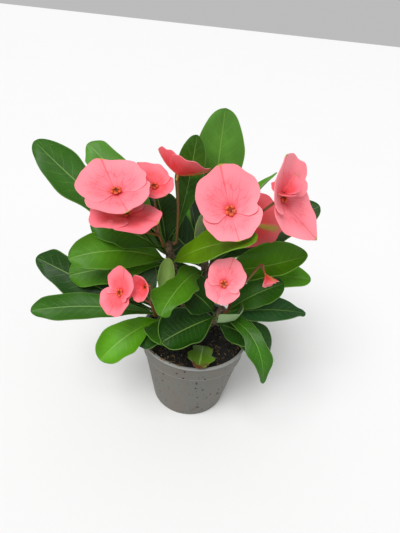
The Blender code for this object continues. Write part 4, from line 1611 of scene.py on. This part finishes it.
class EUPHORBIA_OT_stage(bpy.types.Operator):
    """Lay the pale floor, hang the soft lights and set the camera"""

    bl_idname = "euphorbia.stage"
    bl_label = "Stage"

    def execute(self, context):
        look = settings().stage
        deselect_all()
        bpy.ops.mesh.primitive_plane_add(size=BACKDROP_SIZE, location=(0, 0, 0))
        floor = named("floor")
        floor.data.materials.append(stage_material(look))
        add_soft_sun("soft sun", (0.35, 0.55, -1.0), look.sun)
        world = bpy.data.worlds.new("soft daylight")
        world.use_nodes = True
        background = world.node_tree.nodes["Background"]
        background.inputs["Color"].default_value = (1.0, 1.0, 1.0, 1.0)
        background.inputs["Strength"].default_value = look.sky
        context.scene.world = world
        context.scene.view_settings.view_transform = "Standard"
        data = bpy.data.cameras.new("camera")
        data.lens = look.lens
        data.sensor_width = 36.0
        data.clip_start = 0.01
        camera = bpy.data.objects.new("camera", data)
        context.scene.collection.objects.link(camera)
        tilt = Matrix.Rotation(math.pi / 2 - CAMERA_DOWN, 4, "X")
        camera.matrix_world = (
            Matrix.Translation(CAMERA_PLACE) @ tilt @ Matrix.Rotation(CAMERA_ROLL, 4, "Z")
        )
        context.scene.camera = camera
        return {"FINISHED"}


# ---------------------------------------------------------------- panel and registration


class EUPHORBIA_PT_panel(bpy.types.Panel):
    """The operators and the settings of the potted euphorbia"""

    bl_label = "Potted Euphorbia"
    bl_idname = "EUPHORBIA_PT_panel"
    bl_space_type = "VIEW_3D"
    bl_region_type = "UI"
    bl_category = "Euphorbia"

    def draw(self, context):
        groups = context.scene.euphorbia
        rows = (
            ("euphorbia.pot", groups.pot),
            ("euphorbia.soil", groups.soil),
            ("euphorbia.stem", groups.stem),
            ("euphorbia.stalks", None),
            ("euphorbia.leaves", groups.leaf),
            ("euphorbia.flowers", groups.flower),
            ("euphorbia.stage", groups.stage),
        )
        for operator, group in rows:
            box = self.layout.box()
            box.operator(operator)
            if group:
                for key in group.__annotations__:
                    box.prop(group, key)


CLASSES = (
    LeafSettings,
    FlowerSettings,
    StemSettings,
    SoilSettings,
    PotSettings,
    StageSettings,
    EuphorbiaSettings,
    EUPHORBIA_OT_stage,
    EUPHORBIA_OT_pot,
    EUPHORBIA_OT_soil,
    EUPHORBIA_OT_stem,
    EUPHORBIA_OT_stalks,
    EUPHORBIA_OT_leaves,
    EUPHORBIA_OT_flowers,
    EUPHORBIA_PT_panel,
)


def register():
    for kind in CLASSES:
        bpy.utils.register_class(kind)
    bpy.types.Scene.euphorbia = PointerProperty(type=EuphorbiaSettings)


def unregister():
    del bpy.types.Scene.euphorbia
    for kind in reversed(CLASSES):
        bpy.utils.unregister_class(kind)


def main():
    register()
    bpy.ops.euphorbia.stage()
    bpy.ops.euphorbia.pot()
    bpy.ops.euphorbia.soil()
    bpy.ops.euphorbia.stem()
    bpy.ops.euphorbia.stalks()
    bpy.ops.euphorbia.leaves()
    bpy.ops.euphorbia.flowers()


if __name__ == "__main__":
    main()
